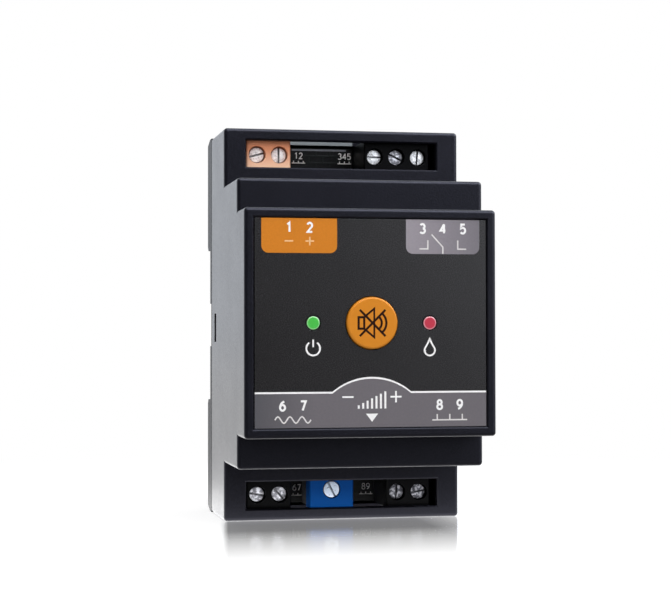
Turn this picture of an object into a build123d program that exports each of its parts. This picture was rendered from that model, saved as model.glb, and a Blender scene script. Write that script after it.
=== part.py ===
from build123d import *
import os

# Leak detection controller for a 35 mm top-hat rail, in millimetres.
# X runs along the rail, +Z is up and the front faces -Y. The origin is the centre of the
# surface that lies against the rail's front. A "front height" is a distance from that
# surface towards the viewer, along -Y, so Plane.XZ.offset(h) is the plane at front height h
# with X to the right and Z up.

# Overall form: three tiers in front of a base that hangs on the rail
case_width = 54.0
case_height = 88.0
case_depth = 59.0
ledge_height = 13.0
shoulder_height = 7.0
middle_setback = 10.3
wall = 2.0
edge_round = 0.8
seam_bevel = 0.3
overrun = 1.0

# Rail and rear base
rail_height = 35.0
rail_clear = 0.15
flange_space = 1.25
pad_depth = 4.3
floor_thickness = 2.7
pad_edge_bevel = 1.0
end_taper_rise = 1.2
end_taper_run = 4.0
relief_depth = 1.9
relief_height = 10.0
relief_backing = 1.3
relief_backing_margin = 2.5
hook_width = 22.0
hook_reach = 2.0
hook_thickness = 2.0
hook_lead = 0.8
pad_wall = 2.0
pocket_margin = 2.4
pocket_rib = 1.4
pocket_count = 3
rim_clear = 0.2
rim_thickness = 1.6
rim_height = 3.5

# Snaps that hold the cover on the base
snap_z = -0.7
snap_window_height = 6.6
snap_window_depth = 3.0
snap_window_front = 10.7
snap_clear = 0.2
snap_reach = 1.2
tongue_length = 18.0
tongue_front = 13.0

# Rail latch, a flat slider with two sprung arms
latch_travel = 4.0
latch_clear = 0.2
latch_core_width = 10.8
latch_flange_width = 14.2
latch_flange_thickness = 1.7
latch_skin = 0.3
latch_nose_reach = 2.3
latch_nose_lead = 1.6
latch_nose_edge = 0.6
latch_recess = 1.2
latch_slot_width = 5.0
latch_slot_height = 1.6
latch_slot_inset = 3.0
latch_flange_top_gap = 1.5
arm_length = 11.0
arm_gap = 0.5
arm_bump = 0.4
arm_bump_radius = 0.8
arm_bump_inset = 1.2
notch_clear = 0.3

# Front plate, its seat and the printed fields on it
frame_border = 2.0
frame_bevel = 0.25
face_drop = 0.3
face_gap = 0.2
face_thickness = 1.5
seat_width = 2.0
seat_thickness = 1.5
ink = 0.05
label_width = 16.0
label_height = 7.25
label_inset = 1.4
label_round = 1.5
band_height = 7.1
dome_width = 16.8
dome_rise = 3.05
line_width = 0.38
mark_x = 5.15
mark_drop = 0.75
mark_length = 2.4
mark_stroke = 0.36
pointer_drop = 4.25
pointer_width = 2.6
pointer_height = 1.7

# Indicators, button and switch on the display board
led_inset = 14.5
led_radius = 1.5
led_flange_radius = 1.9
led_flange = 0.9
led_length = 5.3
led_clear = 0.15
led_recess = 0.1
led_edge = 0.4
lead_spacing = 2.54
lead_size = 0.5
lead_tail = 1.2
button_radius = 5.45
button_clear = 0.2
button_proud = 0.8
button_edge = 0.5
button_flange = 0.9
button_flange_thickness = 0.8
button_travel = 0.5
switch_size = 6.0
switch_height = 3.5
switch_corner = 0.6
plunger_radius = 1.75
plunger_clear = 0.1
plunger_depth = 1.2

# Boards, their posts and screws
board_thickness = 1.6
display_post = 3.5
post_size = 4.6
display_clear = 0.3
board_clear = 0.2
main_board_end = 0.6
boss_radius = 2.5
board_lift = 4.9
boss_side_inset = 5.7
boss_end_inset = 13.0
screw_radius = 1.0
screw_head_radius = 1.9
screw_head_height = 1.3
screw_length = 5.5
screw_hole_radius = 1.2
pilot_clear = 0.05
pilot_extra = 0.8
recess_width = 0.5
recess_length = 2.4
recess_depth = 0.6

# Openings in the terminal ledges and the end walls
window_inset = 5.0
window_height = 6.1
window_bevel = 0.3
wire_slot_height = 7.0
wire_slot_lift = 0.9

# Screw terminals with rising clamps
pole_spacing = 5.08
pair_poles = 2
relay_poles = 3
terminal_depth = 6.9
terminal_bevel = 0.25
terminal_gap = 0.2
left_margin = 0.3
right_margin = 1.2
well_radius = 1.95
well_depth = 2.4
neck_length = 0.8
neck_radius = 1.35
clamp_screw_radius = 1.25
clamp_head_radius = 1.75
clamp_head_thickness = 1.2
clamp_head_edge = 0.15
clamp_slot_width = 0.6
clamp_slot_depth = 0.6
thread_rise = 0.5
clamp_turns = 4.25
cage_width = 3.7
cage_depth = 4.0
cage_height = 6.2
cage_roof = 1.2
cage_floor = 1.0
cage_wall = 0.5
cage_foot_gap = 1.075
cage_clear = 0.2
thread_clear = 0.05
contact_thickness = 0.8
contact_width = 2.3
contact_gap = 0.3
contact_end_gap = 0.2
tip_gap = 0.2
wire_funnel = 0.35
pin_width = 1.0
pin_tail = 2.0
pin_clear = 0.15

# Sensitivity trimmer
trimmer_x = -2.1
trimmer_width = 10.0
trimmer_depth = 8.6
trimmer_height = 5.0
trimmer_drop = 0.1
spacer_inset = 0.4
spacer_vent_width = 3.0
spacer_vent_height = 0.8
spacer_hole_clear = 0.1
rotor_radius = 1.9
rotor_clear = 0.15
rotor_head = 1.2
rotor_sink = 0.3
rotor_shaft_radius = 1.4
rotor_shaft_clear = 0.08
rotor_shaft_length = 3.0
trimmer_angle = -55

# Riser board between the two boards, with its plugs and sockets
riser_x = 2.0
riser_height = 36.0
socket_width = 2.5
socket_height = 8.5
socket_end = 0.2
plug_height = 2.5
pin_spacing = 2.54
pin_count = 8
pin_size = 0.64
pin_reach = 6.0
pin_overlap = 5.0
pin_hole_clear = 0.05

# Components on the main and riser boards
relay_drop = 13.0
relay_width = 15.4
relay_height = 15.5
relay_length = 19.2
relay_edge = 0.8
buzzer_inset = 11.0
buzzer_drop = 17.0
buzzer_radius = 6.0
buzzer_height = 9.5
buzzer_edge = 0.5
buzzer_port_radius = 1.0
buzzer_port_depth = 1.5
capacitor_inset = 8.0
capacitor_drop = 14.0
capacitor_spacing = 10.0
capacitor_radius = 4.0
capacitor_height = 12.0
capacitor_neck = 0.5
capacitor_neck_height = 1.8
converter_drop = 14.0
converter_width = 7.6
converter_length = 19.6
converter_height = 10.0
converter_edge = 0.4
chip_thickness = 1.2
chip_lift = 0.2
chip_edge = 0.1
controller_size = 7.0
controller_lead_spacing = 1.0
controller_lead_count = 6
driver_inset = 9.5
driver_drop = 7.0
driver_width = 4.0
driver_length = 5.0
driver_lead_spacing = 1.27
driver_lead_count = 4
chip_lead_reach = 1.0
chip_lead_width = 0.4
component_pin_radius = 0.4
component_pin_tail = 2.0
component_pin_clear = 0.15

# Front heights and half sizes that follow from the sizes above
middle_height = case_height - 2 * ledge_height
panel_height = middle_height - 2 * shoulder_height
panel_front = case_depth - pad_depth
middle_front = panel_front - middle_setback
inner_x = case_width / 2 - wall
inner_z = case_height / 2 - wall
face_front = panel_front - face_drop
face_back = face_front - face_thickness
seat_back = face_back - seat_thickness
plate_width = case_width - 2 * frame_border
plate_height = panel_height - 2 * frame_border
face_width = plate_width - 2 * face_gap
face_height = plate_height - 2 * face_gap
label_x = face_width / 2 - label_inset - label_width / 2
led_x = case_width / 2 - led_inset
display_front = seat_back - display_post
display_back = display_front - board_thickness
tongue_inner = inner_x - rim_clear - rim_thickness
main_board_width = 2 * (tongue_inner - board_clear)
main_board_height = 2 * (inner_z - main_board_end)
boss_x = inner_x - boss_side_inset
boss_z = case_height / 2 - boss_end_inset
pole_z = inner_z - terminal_gap - terminal_depth / 2
window_width = case_width - 2 * window_inset
chamber_half_depth = cage_depth / 2 + cage_clear
cage_inner_width = cage_width - 2 * cage_wall

# The stack over the base: bosses, main board, lowest clamp, terminal and the ledge's wall
main_back = floor_thickness + board_lift
main_front = main_back + board_thickness
cage_bottom = main_front + cage_foot_gap
wire_floor = cage_bottom + cage_floor
contact_top = cage_bottom + cage_height - cage_roof - contact_gap
contact_bottom = contact_top - contact_thickness
chamber_top = cage_bottom + cage_height + cage_clear + clamp_turns * thread_rise
terminal_top = chamber_top + neck_length + well_depth
ledge_front = terminal_top + terminal_gap + wall

# Each terminal: name, poles, centre along X, end of the case (+1 top, -1 bottom) and the
# angle at which each screw's slot stands
left_x = -window_width / 2 + left_margin + pair_poles * pole_spacing / 2
relay_terminal_x = window_width / 2 - right_margin - relay_poles * pole_spacing / 2
bus_x = window_width / 2 - right_margin - pair_poles * pole_spacing / 2
terminals = [
    ("power", pair_poles, left_x, 1, (15, 90)),
    ("relay", relay_poles, relay_terminal_x, 1, (0, -25, 85)),
    ("cable", pair_poles, left_x, -1, (-10, -50)),
    ("bus", pair_poles, bus_x, -1, (85, 10)),
]


def pole_places(poles, center_x):
    """X of every pole of a terminal."""
    first_x = center_x - (poles - 1) * pole_spacing / 2
    return [first_x + i * pole_spacing for i in range(poles)]


os.makedirs("parts", exist_ok=True)


# Housing: the stepped cover, open at the back and at the front plate's seat
def tier(front, height):
    """Solid block from the parting line to a front height, with its outer edges rounded."""
    with BuildPart() as block:
        with BuildSketch(Plane.XZ.offset(floor_thickness)):
            Rectangle(case_width, height)
        extrude(amount=front - floor_thickness)
        front_edges = block.faces().sort_by(Axis.Y)[0].edges()
        fillet(front_edges + block.edges().filter_by(Axis.Y), edge_round)
    return block.part


tiers = [(ledge_front, case_height), (middle_front, middle_height), (panel_front, panel_height)]
tier_blocks = [tier(front, height) for front, height in tiers]

with BuildPart() as housing:
    for block in tier_blocks:
        add(block)
    chamfer(housing.faces().sort_by(Axis.Y)[-1].edges(), seam_bevel)
    # Each tier is hollow to one wall from its front, the panel tier to the plate's seat
    for front, height in tiers:
        ceiling = min(front - wall, seat_back)
        with BuildSketch(Plane.XZ.offset(floor_thickness)):
            Rectangle(2 * inner_x, height - 2 * wall)
        extrude(amount=ceiling - floor_thickness, mode=Mode.SUBTRACT)
    with BuildSketch(Plane.XZ.offset(seat_back)):
        Rectangle(plate_width - 2 * seat_width, plate_height - 2 * seat_width)
    extrude(amount=seat_thickness, mode=Mode.SUBTRACT)
    with BuildSketch(Plane.XZ.offset(face_back)):
        Rectangle(plate_width, plate_height)
    extrude(amount=face_thickness + face_drop, mode=Mode.SUBTRACT)
    opening_edges = [
        edge
        for edge in housing.edges().filter_by_position(Axis.Y, -panel_front, -panel_front)
        if abs(edge.center().X) < plate_width / 2 + frame_bevel
        and abs(edge.center().Z) < plate_height / 2 + frame_bevel
    ]
    chamfer(opening_edges, frame_bevel)
    # Corner posts that carry the display board
    post_x = inner_x - post_size / 2
    post_z = panel_height / 2 - wall - post_size / 2
    with BuildSketch(Plane.XZ.offset(display_front)):
        with GridLocations(2 * post_x, 2 * post_z, 2, 2):
            Rectangle(post_size, post_size)
    extrude(amount=display_post)
    with BuildSketch(Plane.XZ.offset(display_front)):
        with GridLocations(2 * post_x, 2 * post_z, 2, 2):
            Circle(screw_radius + pilot_clear)
    pilot_depth = screw_length - board_thickness + pilot_extra
    extrude(amount=pilot_depth, mode=Mode.SUBTRACT)
    # Screwdriver windows in the ledges, with their front edges broken
    with BuildSketch(Plane.XZ.offset(ledge_front - wall)):
        with GridLocations(window_width, 2 * pole_z, 1, 2):
            Rectangle(window_width, window_height)
    extrude(amount=wall, mode=Mode.SUBTRACT)
    window_edges = [
        edge
        for edge in housing.edges().filter_by_position(Axis.Y, -ledge_front, -ledge_front)
        if abs(abs(edge.center().Z) - pole_z) < window_height / 2 + window_bevel
        and abs(edge.center().X) < window_width / 2 + window_bevel
    ]
    chamfer(window_edges, window_bevel)
    # Wire slots in the end walls, level with the terminals' mouths
    wire_slot_center = main_front + wire_slot_lift + wire_slot_height / 2
    for end in (-1, 1):
        with BuildSketch(Plane.XY.offset(end * (inner_z + wall / 2))):
            with Locations((0, -wire_slot_center)):
                Rectangle(window_width, wire_slot_height)
        extrude(amount=wall, both=True, mode=Mode.SUBTRACT)
    # Snap windows in the side walls
    snap_window_center = snap_window_front - snap_window_depth / 2
    with BuildSketch(Plane.YZ):
        with Locations((-snap_window_center, snap_z)):
            Rectangle(snap_window_depth, snap_window_height)
    extrude(amount=case_width, both=True, mode=Mode.SUBTRACT)
housing.part.label = "housing"
export_step(housing.part, "parts/housing.step")

# Rear base: floor, hollow pads, rail channel with its fixed hook, and the latch's guide
channel_half = rail_height / 2 + rail_clear
half_height = case_height / 2
taper_start = pad_depth - end_taper_run
pad_points = [
    (-floor_thickness, half_height),
    (taper_start, half_height),
    (pad_depth, half_height - end_taper_rise),
    (pad_depth, channel_half + pad_edge_bevel),
    (pad_depth - pad_edge_bevel, channel_half),
    (0, channel_half),
    (0, relief_height / 2),
    (-relief_depth, relief_height / 2),
]
lower_points = [(y, -z) for y, z in reversed(pad_points)]
guide_floor = latch_skin
groove_back = guide_floor + latch_flange_thickness + 2 * latch_clear
groove_width = latch_flange_width + 2 * latch_clear
notch_length = latch_travel + 2 * arm_bump_radius + 2 * notch_clear
notch_depth = arm_bump + notch_clear
latch_bottom = -half_height + latch_recess
latch_flange_top = -channel_half - latch_flange_top_gap
bump_top = latch_flange_top - arm_bump_inset
notch_center = bump_top + notch_clear - notch_length / 2
pocket_outer = half_height - pocket_margin
pocket_inner = channel_half + pad_wall
pocket_depth = floor_thickness + pad_depth - pad_wall
side_pocket_inner = groove_width / 2 + notch_depth + pad_wall
side_pocket_outer = inner_x - pocket_margin / 2

with BuildPart() as rear_base:
    with BuildSketch(Plane.YZ):
        with BuildLine():
            Polyline(*pad_points, *lower_points, close=True)
        make_face()
    extrude(amount=case_width / 2, both=True)
    chamfer(rear_base.faces().sort_by(Axis.Y)[0].edges(), seam_bevel)
    # Backing behind the channel's relief, and the rim that centres the cover
    with BuildSketch(Plane.XZ.offset(floor_thickness)):
        Rectangle(2 * tongue_inner, relief_height + 2 * relief_backing_margin)
    extrude(amount=relief_backing)
    with BuildSketch(Plane.XZ.offset(floor_thickness)):
        Rectangle(2 * (inner_x - rim_clear), 2 * (inner_z - rim_clear))
        Rectangle(2 * tongue_inner, 2 * (inner_z - rim_clear - rim_thickness), mode=Mode.SUBTRACT)
    extrude(amount=rim_height)
    # Pockets that core out the pads from inside, three above and one each side of the guide
    pocket_height = pocket_outer - pocket_inner
    pocket_middle = (pocket_outer + pocket_inner) / 2
    with BuildSketch(Plane.XZ.offset(floor_thickness)):
        with Locations((0, pocket_middle)):
            Rectangle(2 * side_pocket_outer, pocket_height)
            pocket_step = 2 * side_pocket_outer / pocket_count
            with GridLocations(pocket_step, pocket_height, pocket_count - 1, 1):
                Rectangle(pocket_rib, pocket_height, mode=Mode.SUBTRACT)
        side_pocket_width = side_pocket_outer - side_pocket_inner
        side_pocket_middle = (side_pocket_outer + side_pocket_inner) / 2
        with Locations((-side_pocket_middle, -pocket_middle), (side_pocket_middle, -pocket_middle)):
            Rectangle(side_pocket_width, pocket_height)
    extrude(amount=-pocket_depth, mode=Mode.SUBTRACT)
    # Snap tongues at both sides, with a wedge that catches behind the cover's window
    catch_back = snap_window_front - snap_window_depth + snap_clear
    catch_front = snap_window_front - snap_clear
    for side in (-1, 1):
        with BuildSketch(Plane.XZ.offset(floor_thickness)):
            with Locations((side * (tongue_inner + rim_thickness / 2), snap_z)):
                Rectangle(rim_thickness, tongue_length)
        extrude(amount=tongue_front - floor_thickness)
        tongue_face = side * (inner_x - rim_clear)
        with BuildSketch(Plane.XY.offset(snap_z)):
            with BuildLine():
                Polyline(
                    (tongue_face, -catch_back),
                    (tongue_face + side * snap_reach, -catch_back),
                    (tongue_face, -catch_front),
                    close=True,
                )
            make_face()
        extrude(amount=snap_window_height / 2 - snap_clear, both=True)
    # Bosses for the main board's screws, from the pads' walls up to the board
    boss_foot = pad_wall - pad_depth
    with BuildSketch(Plane.XZ.offset(boss_foot)):
        with GridLocations(2 * boss_x, 2 * boss_z, 2, 2):
            Circle(boss_radius)
    extrude(amount=main_back - boss_foot)
    with BuildSketch(Plane.XZ.offset(main_back)):
        with GridLocations(2 * boss_x, 2 * boss_z, 2, 2):
            Circle(screw_radius + pilot_clear)
    extrude(amount=-pilot_depth, mode=Mode.SUBTRACT)
    # Fixed hook that takes the rail's upper edge
    with BuildSketch(Plane.YZ):
        with BuildLine():
            Polyline(
                (flange_space, channel_half),
                (flange_space, channel_half - hook_reach),
                (flange_space + hook_thickness - hook_lead, channel_half - hook_reach),
                (flange_space + hook_thickness, channel_half - hook_reach + hook_lead),
                (flange_space + hook_thickness, channel_half),
                close=True,
            )
        make_face()
    extrude(amount=hook_width / 2, both=True)
    # Guide for the latch: a groove behind two lips, open at the channel and at the bottom
    guide_length = half_height - channel_half
    guide_middle = -(half_height + channel_half) / 2
    with BuildSketch(Plane.XZ.offset(-guide_floor)):
        with Locations((0, guide_middle)):
            Rectangle(groove_width, guide_length + 2 * overrun)
        with Locations((0, notch_center)):
            Rectangle(groove_width + 2 * notch_depth, notch_length)
    extrude(amount=guide_floor - groove_back, mode=Mode.SUBTRACT)
    with BuildSketch(Plane.XZ.offset(-groove_back)):
        with Locations((0, guide_middle)):
            Rectangle(latch_core_width + 2 * latch_clear, guide_length + 2 * overrun)
    extrude(amount=groove_back - pad_depth, mode=Mode.SUBTRACT)
rear_base.part.label = "rear_base"
export_step(rear_base.part, "parts/rear_base.step")

# Rail latch: flange in the groove, core between the lips, and a nose behind the rail's edge
latch_floor = guide_floor + latch_clear
latch_back = pad_depth - latch_clear
nose_back = flange_space + hook_thickness
nose_tip = -channel_half + latch_nose_reach
flange_half = latch_flange_width / 2
slit_x = latch_core_width / 2 + arm_gap / 2
bump_x = flange_half + arm_bump - arm_bump_radius

with BuildPart() as rail_latch:
    with BuildSketch(Plane.XZ.offset(-latch_floor)):
        with Locations((0, latch_bottom)):
            Rectangle(
                latch_flange_width,
                latch_flange_top - latch_bottom,
                align=(Align.CENTER, Align.MIN),
            )
        # Slits free the two sprung arms, whose bumps stop in the guide's notches
        with Locations((-slit_x, latch_flange_top), (slit_x, latch_flange_top)):
            Rectangle(arm_gap, arm_length, align=(Align.CENTER, Align.MAX), mode=Mode.SUBTRACT)
        with Locations((-bump_x, bump_top - arm_bump_radius), (bump_x, bump_top - arm_bump_radius)):
            Circle(arm_bump_radius)
    extrude(amount=-latch_flange_thickness)
    with BuildSketch(Plane.YZ):
        with BuildLine():
            Polyline(
                (latch_floor, latch_bottom),
                (latch_back, latch_bottom),
                (latch_back, -channel_half - pad_edge_bevel),
                (nose_back, -channel_half),
                (nose_back, nose_tip - latch_nose_lead),
                (flange_space + latch_nose_edge, nose_tip),
                (flange_space, nose_tip),
                (flange_space, -channel_half),
                (latch_floor, -channel_half),
                close=True,
            )
        make_face()
    extrude(amount=latch_core_width / 2, both=True)
    # Slot for the screwdriver that draws the latch down
    with BuildSketch(Plane.XZ):
        with Locations((0, latch_bottom + latch_slot_inset)):
            Rectangle(latch_slot_width, latch_slot_height)
    extrude(amount=-pad_depth, mode=Mode.SUBTRACT)
rail_latch.part.label = "rail_latch"
export_step(rail_latch.part, "parts/rail_latch.step")

# Front plate, in its seat inside the panel's frame
with BuildPart() as faceplate:
    with BuildSketch(Plane.XZ.offset(face_back)):
        Rectangle(face_width, face_height)
        Circle(button_radius + button_clear, mode=Mode.SUBTRACT)
        with Locations((-led_x, 0), (led_x, 0)):
            Circle(led_radius + led_clear, mode=Mode.SUBTRACT)
    extrude(amount=face_thickness)
faceplate.part.label = "faceplate"
export_step(faceplate.part, "parts/faceplate.step")

# Printed fields, each one layer of ink on the plate: two labels, a band with a dome over the
# trimmer, and the white line and marks
face_top = face_height / 2
band_top = band_height - face_top
mark_z = band_top - mark_drop
pointer_top = band_top - pointer_drop


def label_face(x):
    """Label that hangs from the plate's top edge, with its two lower corners rounded."""
    with BuildSketch() as label:
        with Locations((x, face_top)):
            RectangleRounded(label_width, 2 * label_height, label_round)
        Rectangle(face_width, face_height, mode=Mode.INTERSECT)
    return label.sketch


def band_face(rise):
    """The band along the plate's foot with its dome, grown upwards by rise."""
    half_dome = dome_width / 2
    half_face = face_width / 2
    foot = band_top + rise
    with BuildSketch() as band:
        with BuildLine():
            Polyline((-half_dome, foot), (-half_face, foot), (-half_face, -face_top))
            Line((-half_face, -face_top), (half_face, -face_top))
            Polyline((half_face, -face_top), (half_face, foot), (half_dome, foot))
            ThreePointArc((half_dome, foot), (0, foot + dome_rise), (-half_dome, foot))
        make_face()
    return band.sketch


def mark_face():
    """Minus and plus beside the dome, and the pointer under its crown."""
    with BuildSketch() as marks:
        with Locations((-mark_x, mark_z), (mark_x, mark_z)):
            Rectangle(mark_length, mark_stroke)
        with Locations((mark_x, mark_z)):
            Rectangle(mark_stroke, mark_length)
        with BuildLine():
            Polyline(
                (-pointer_width / 2, pointer_top),
                (0, pointer_top - pointer_height),
                (pointer_width / 2, pointer_top),
                close=True,
            )
        make_face()
    return marks.sketch


with BuildPart() as orange_label:
    with BuildSketch(Plane.XZ.offset(face_front)):
        add(label_face(-label_x))
    extrude(amount=ink)
orange_label.part.label = "orange_label"
export_step(orange_label.part, "parts/orange_label.step")

with BuildPart() as grey_fields:
    with BuildSketch(Plane.XZ.offset(face_front)):
        add(label_face(label_x))
        add(band_face(0))
    extrude(amount=ink)
    # The white marks lie in the band's ink
    with BuildSketch(Plane.XZ.offset(face_front)):
        add(mark_face())
    extrude(amount=ink, mode=Mode.SUBTRACT)
grey_fields.part.label = "grey_fields"
export_step(grey_fields.part, "parts/grey_fields.step")

with BuildPart() as white_marks:
    with BuildSketch(Plane.XZ.offset(face_front)):
        add(band_face(line_width))
        add(band_face(0), mode=Mode.SUBTRACT)
        add(mark_face())
    extrude(amount=ink)
white_marks.part.label = "white_marks"
export_step(white_marks.part, "parts/white_marks.step")

# Mute button: a cap through the plate, held behind it by its flange
flange_back = face_back - button_flange_thickness
with BuildPart() as mute_button:
    with BuildSketch(Plane.XZ.offset(face_back)):
        Circle(button_radius)
    extrude(amount=face_thickness + button_proud)
    fillet(mute_button.faces().sort_by(Axis.Y)[0].edges(), button_edge)
    with BuildSketch(Plane.XZ.offset(flange_back)):
        Circle(button_radius + button_flange)
    extrude(amount=button_flange_thickness)
mute_button.part.label = "mute_button"
export_step(mute_button.part, "parts/mute_button.step")

# Switch under the button, with the plunger that the cap presses
switch_top = display_front + switch_height
with BuildPart() as tact_switch:
    with BuildSketch(Plane.XZ.offset(display_front)):
        RectangleRounded(switch_size, switch_size, switch_corner)
    extrude(amount=switch_height)
    with BuildSketch(Plane.XZ.offset(switch_top)):
        Circle(plunger_radius + plunger_clear)
    extrude(amount=-(plunger_depth + button_travel + plunger_clear), mode=Mode.SUBTRACT)
tact_switch.part.label = "tact_switch"
export_step(tact_switch.part, "parts/tact_switch.step")

with BuildPart() as switch_plunger:
    with BuildSketch(Plane.XZ.offset(switch_top - plunger_depth)):
        Circle(plunger_radius)
    extrude(amount=flange_back - switch_top + plunger_depth)
switch_plunger.part.label = "switch_plunger"
export_step(switch_plunger.part, "parts/switch_plunger.step")

# Indicators: flat-topped lenses with a flange, on two leads through the display board
led_top = panel_front - led_recess
led_base = led_top - led_length


def indicator(x):
    """Sealed indicator at one X, from its leads' tails to its lens."""
    with BuildPart() as led:
        with BuildSketch(Plane.XZ.offset(led_base)):
            with Locations((x, 0)):
                Circle(led_radius)
        extrude(amount=led_length)
        fillet(led.faces().sort_by(Axis.Y)[0].edges(), led_edge)
        with BuildSketch(Plane.XZ.offset(led_base)):
            with Locations((x, 0)):
                Circle(led_flange_radius)
        extrude(amount=led_flange)
        with BuildSketch(Plane.XZ.offset(led_base)):
            with Locations((x, 0)):
                with GridLocations(lead_spacing, lead_spacing, 2, 1):
                    Rectangle(lead_size, lead_size)
        extrude(amount=display_back - lead_tail - led_base)
    return led


power_led = indicator(-led_x)
power_led.part.label = "power_led"
export_step(power_led.part, "parts/power_led.step")

leak_led = indicator(led_x)
leak_led.part.label = "leak_led"
export_step(leak_led.part, "parts/leak_led.step")

# Display board on the housing's corner posts
with BuildPart() as display_board:
    with BuildSketch(Plane.XZ.offset(display_back)):
        Rectangle(2 * (inner_x - display_clear), panel_height - 2 * (wall + display_clear))
        with GridLocations(2 * post_x, 2 * post_z, 2, 2):
            Circle(screw_hole_radius, mode=Mode.SUBTRACT)
        with Locations((-led_x, 0), (led_x, 0)):
            with GridLocations(lead_spacing, lead_spacing, 2, 1):
                Circle(lead_size / 2 + component_pin_clear, mode=Mode.SUBTRACT)
    extrude(amount=board_thickness)
display_board.part.label = "display_board"
export_step(display_board.part, "parts/display_board.step")


def terminal_pin_places():
    """X and Z of every terminal's solder pin."""
    places = []
    for name, poles, center_x, end, angles in terminals:
        places += [(x, end * pin_z) for x in pole_places(poles, center_x)]
    return places


def pin_places(center, size, shares):
    """Pins of a component, given as shares of its width and length."""
    return [(center[0] + size[0] * u, center[1] + size[1] * v) for u, v in shares]


# Main board on the base's bosses, with a hole for every pin
pin_z = pole_z - chamber_half_depth - contact_thickness / 2
relay_pin_shares = [(-0.39, -0.4), (0.39, -0.4), (0, 0.4), (-0.39, 0.3), (0.39, 0.3)]
pair_shares = [(-0.3, 0), (0.3, 0)]
row_shares = [(0, -0.39), (0, -0.13), (0, 0.13), (0, 0.39)]
trimmer_pin_shares = [(-0.25, 0.3), (0.25, 0.3), (0, -0.1)]
trimmer_z = -(inner_z - terminal_gap - trimmer_depth / 2)
row_x = riser_x + board_thickness + pin_size / 2
relay_x = (row_x + socket_width / 2 + inner_x) / 2
relay_z = boss_z - relay_drop
buzzer_x = buzzer_inset - inner_x
buzzer_z = buzzer_drop - boss_z
capacitor_x = capacitor_inset - inner_x
capacitor_z = boss_z - capacitor_drop
converter_x = (capacitor_x + capacitor_radius + riser_x - chip_lift - chip_thickness) / 2
converter_z = boss_z - converter_drop
driver_x = inner_x - driver_inset
driver_z = driver_drop - boss_z
relay_pins = pin_places((relay_x, relay_z), (relay_width, relay_length), relay_pin_shares)
buzzer_pins = pin_places((buzzer_x, buzzer_z), (2 * buzzer_radius, 2 * buzzer_radius), pair_shares)
converter_pins = pin_places((converter_x, converter_z), (converter_width, converter_length), row_shares)
trimmer_pins = pin_places((trimmer_x, trimmer_z), (trimmer_width, trimmer_depth), trimmer_pin_shares)
capacitor_places = [
    (capacitor_x, capacitor_z - capacitor_spacing / 2),
    (capacitor_x, capacitor_z + capacitor_spacing / 2),
]
capacitor_pins = [
    pin
    for place in capacitor_places
    for pin in pin_places(place, (2 * capacitor_radius, 2 * capacitor_radius), pair_shares)
]
component_pins = relay_pins + buzzer_pins + converter_pins + trimmer_pins + capacitor_pins

with BuildPart() as main_board:
    with BuildSketch(Plane.XZ.offset(main_back)):
        Rectangle(main_board_width, main_board_height)
        with GridLocations(2 * boss_x, 2 * boss_z, 2, 2):
            Circle(screw_hole_radius, mode=Mode.SUBTRACT)
        with Locations(*component_pins):
            Circle(component_pin_radius + component_pin_clear, mode=Mode.SUBTRACT)
        with Locations(*terminal_pin_places()):
            Circle(pin_width / 2 + pin_clear, mode=Mode.SUBTRACT)
    extrude(amount=board_thickness)
main_board.part.label = "main_board"
export_step(main_board.part, "parts/main_board.step")


# Board screws: pan heads with a cross recess, four behind the display board and four in
# front of the main board
def board_screws(seat, direction, x, z):
    """Four screws whose heads stand on the plane at a front height, on its +1 or -1 side."""
    with BuildPart() as screws:
        with BuildSketch(Plane.XZ.offset(seat)):
            with GridLocations(2 * x, 2 * z, 2, 2):
                Circle(screw_head_radius)
        extrude(amount=direction * screw_head_height)
        with BuildSketch(Plane.XZ.offset(seat)):
            with GridLocations(2 * x, 2 * z, 2, 2):
                Circle(screw_radius)
        extrude(amount=-direction * screw_length)
        with BuildSketch(Plane.XZ.offset(seat + direction * screw_head_height)):
            with GridLocations(2 * x, 2 * z, 2, 2):
                Rectangle(recess_length, recess_width)
                Rectangle(recess_width, recess_length)
        extrude(amount=-direction * recess_depth, mode=Mode.SUBTRACT)
    return screws


display_board_screws = board_screws(display_back, -1, post_x, post_z)
display_board_screws.part.label = "display_board_screws"
export_step(display_board_screws.part, "parts/display_board_screws.step")

main_board_screws = board_screws(main_front, 1, boss_x, boss_z)
main_board_screws.part.label = "main_board_screws"
export_step(main_board_screws.part, "parts/main_board_screws.step")


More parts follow.
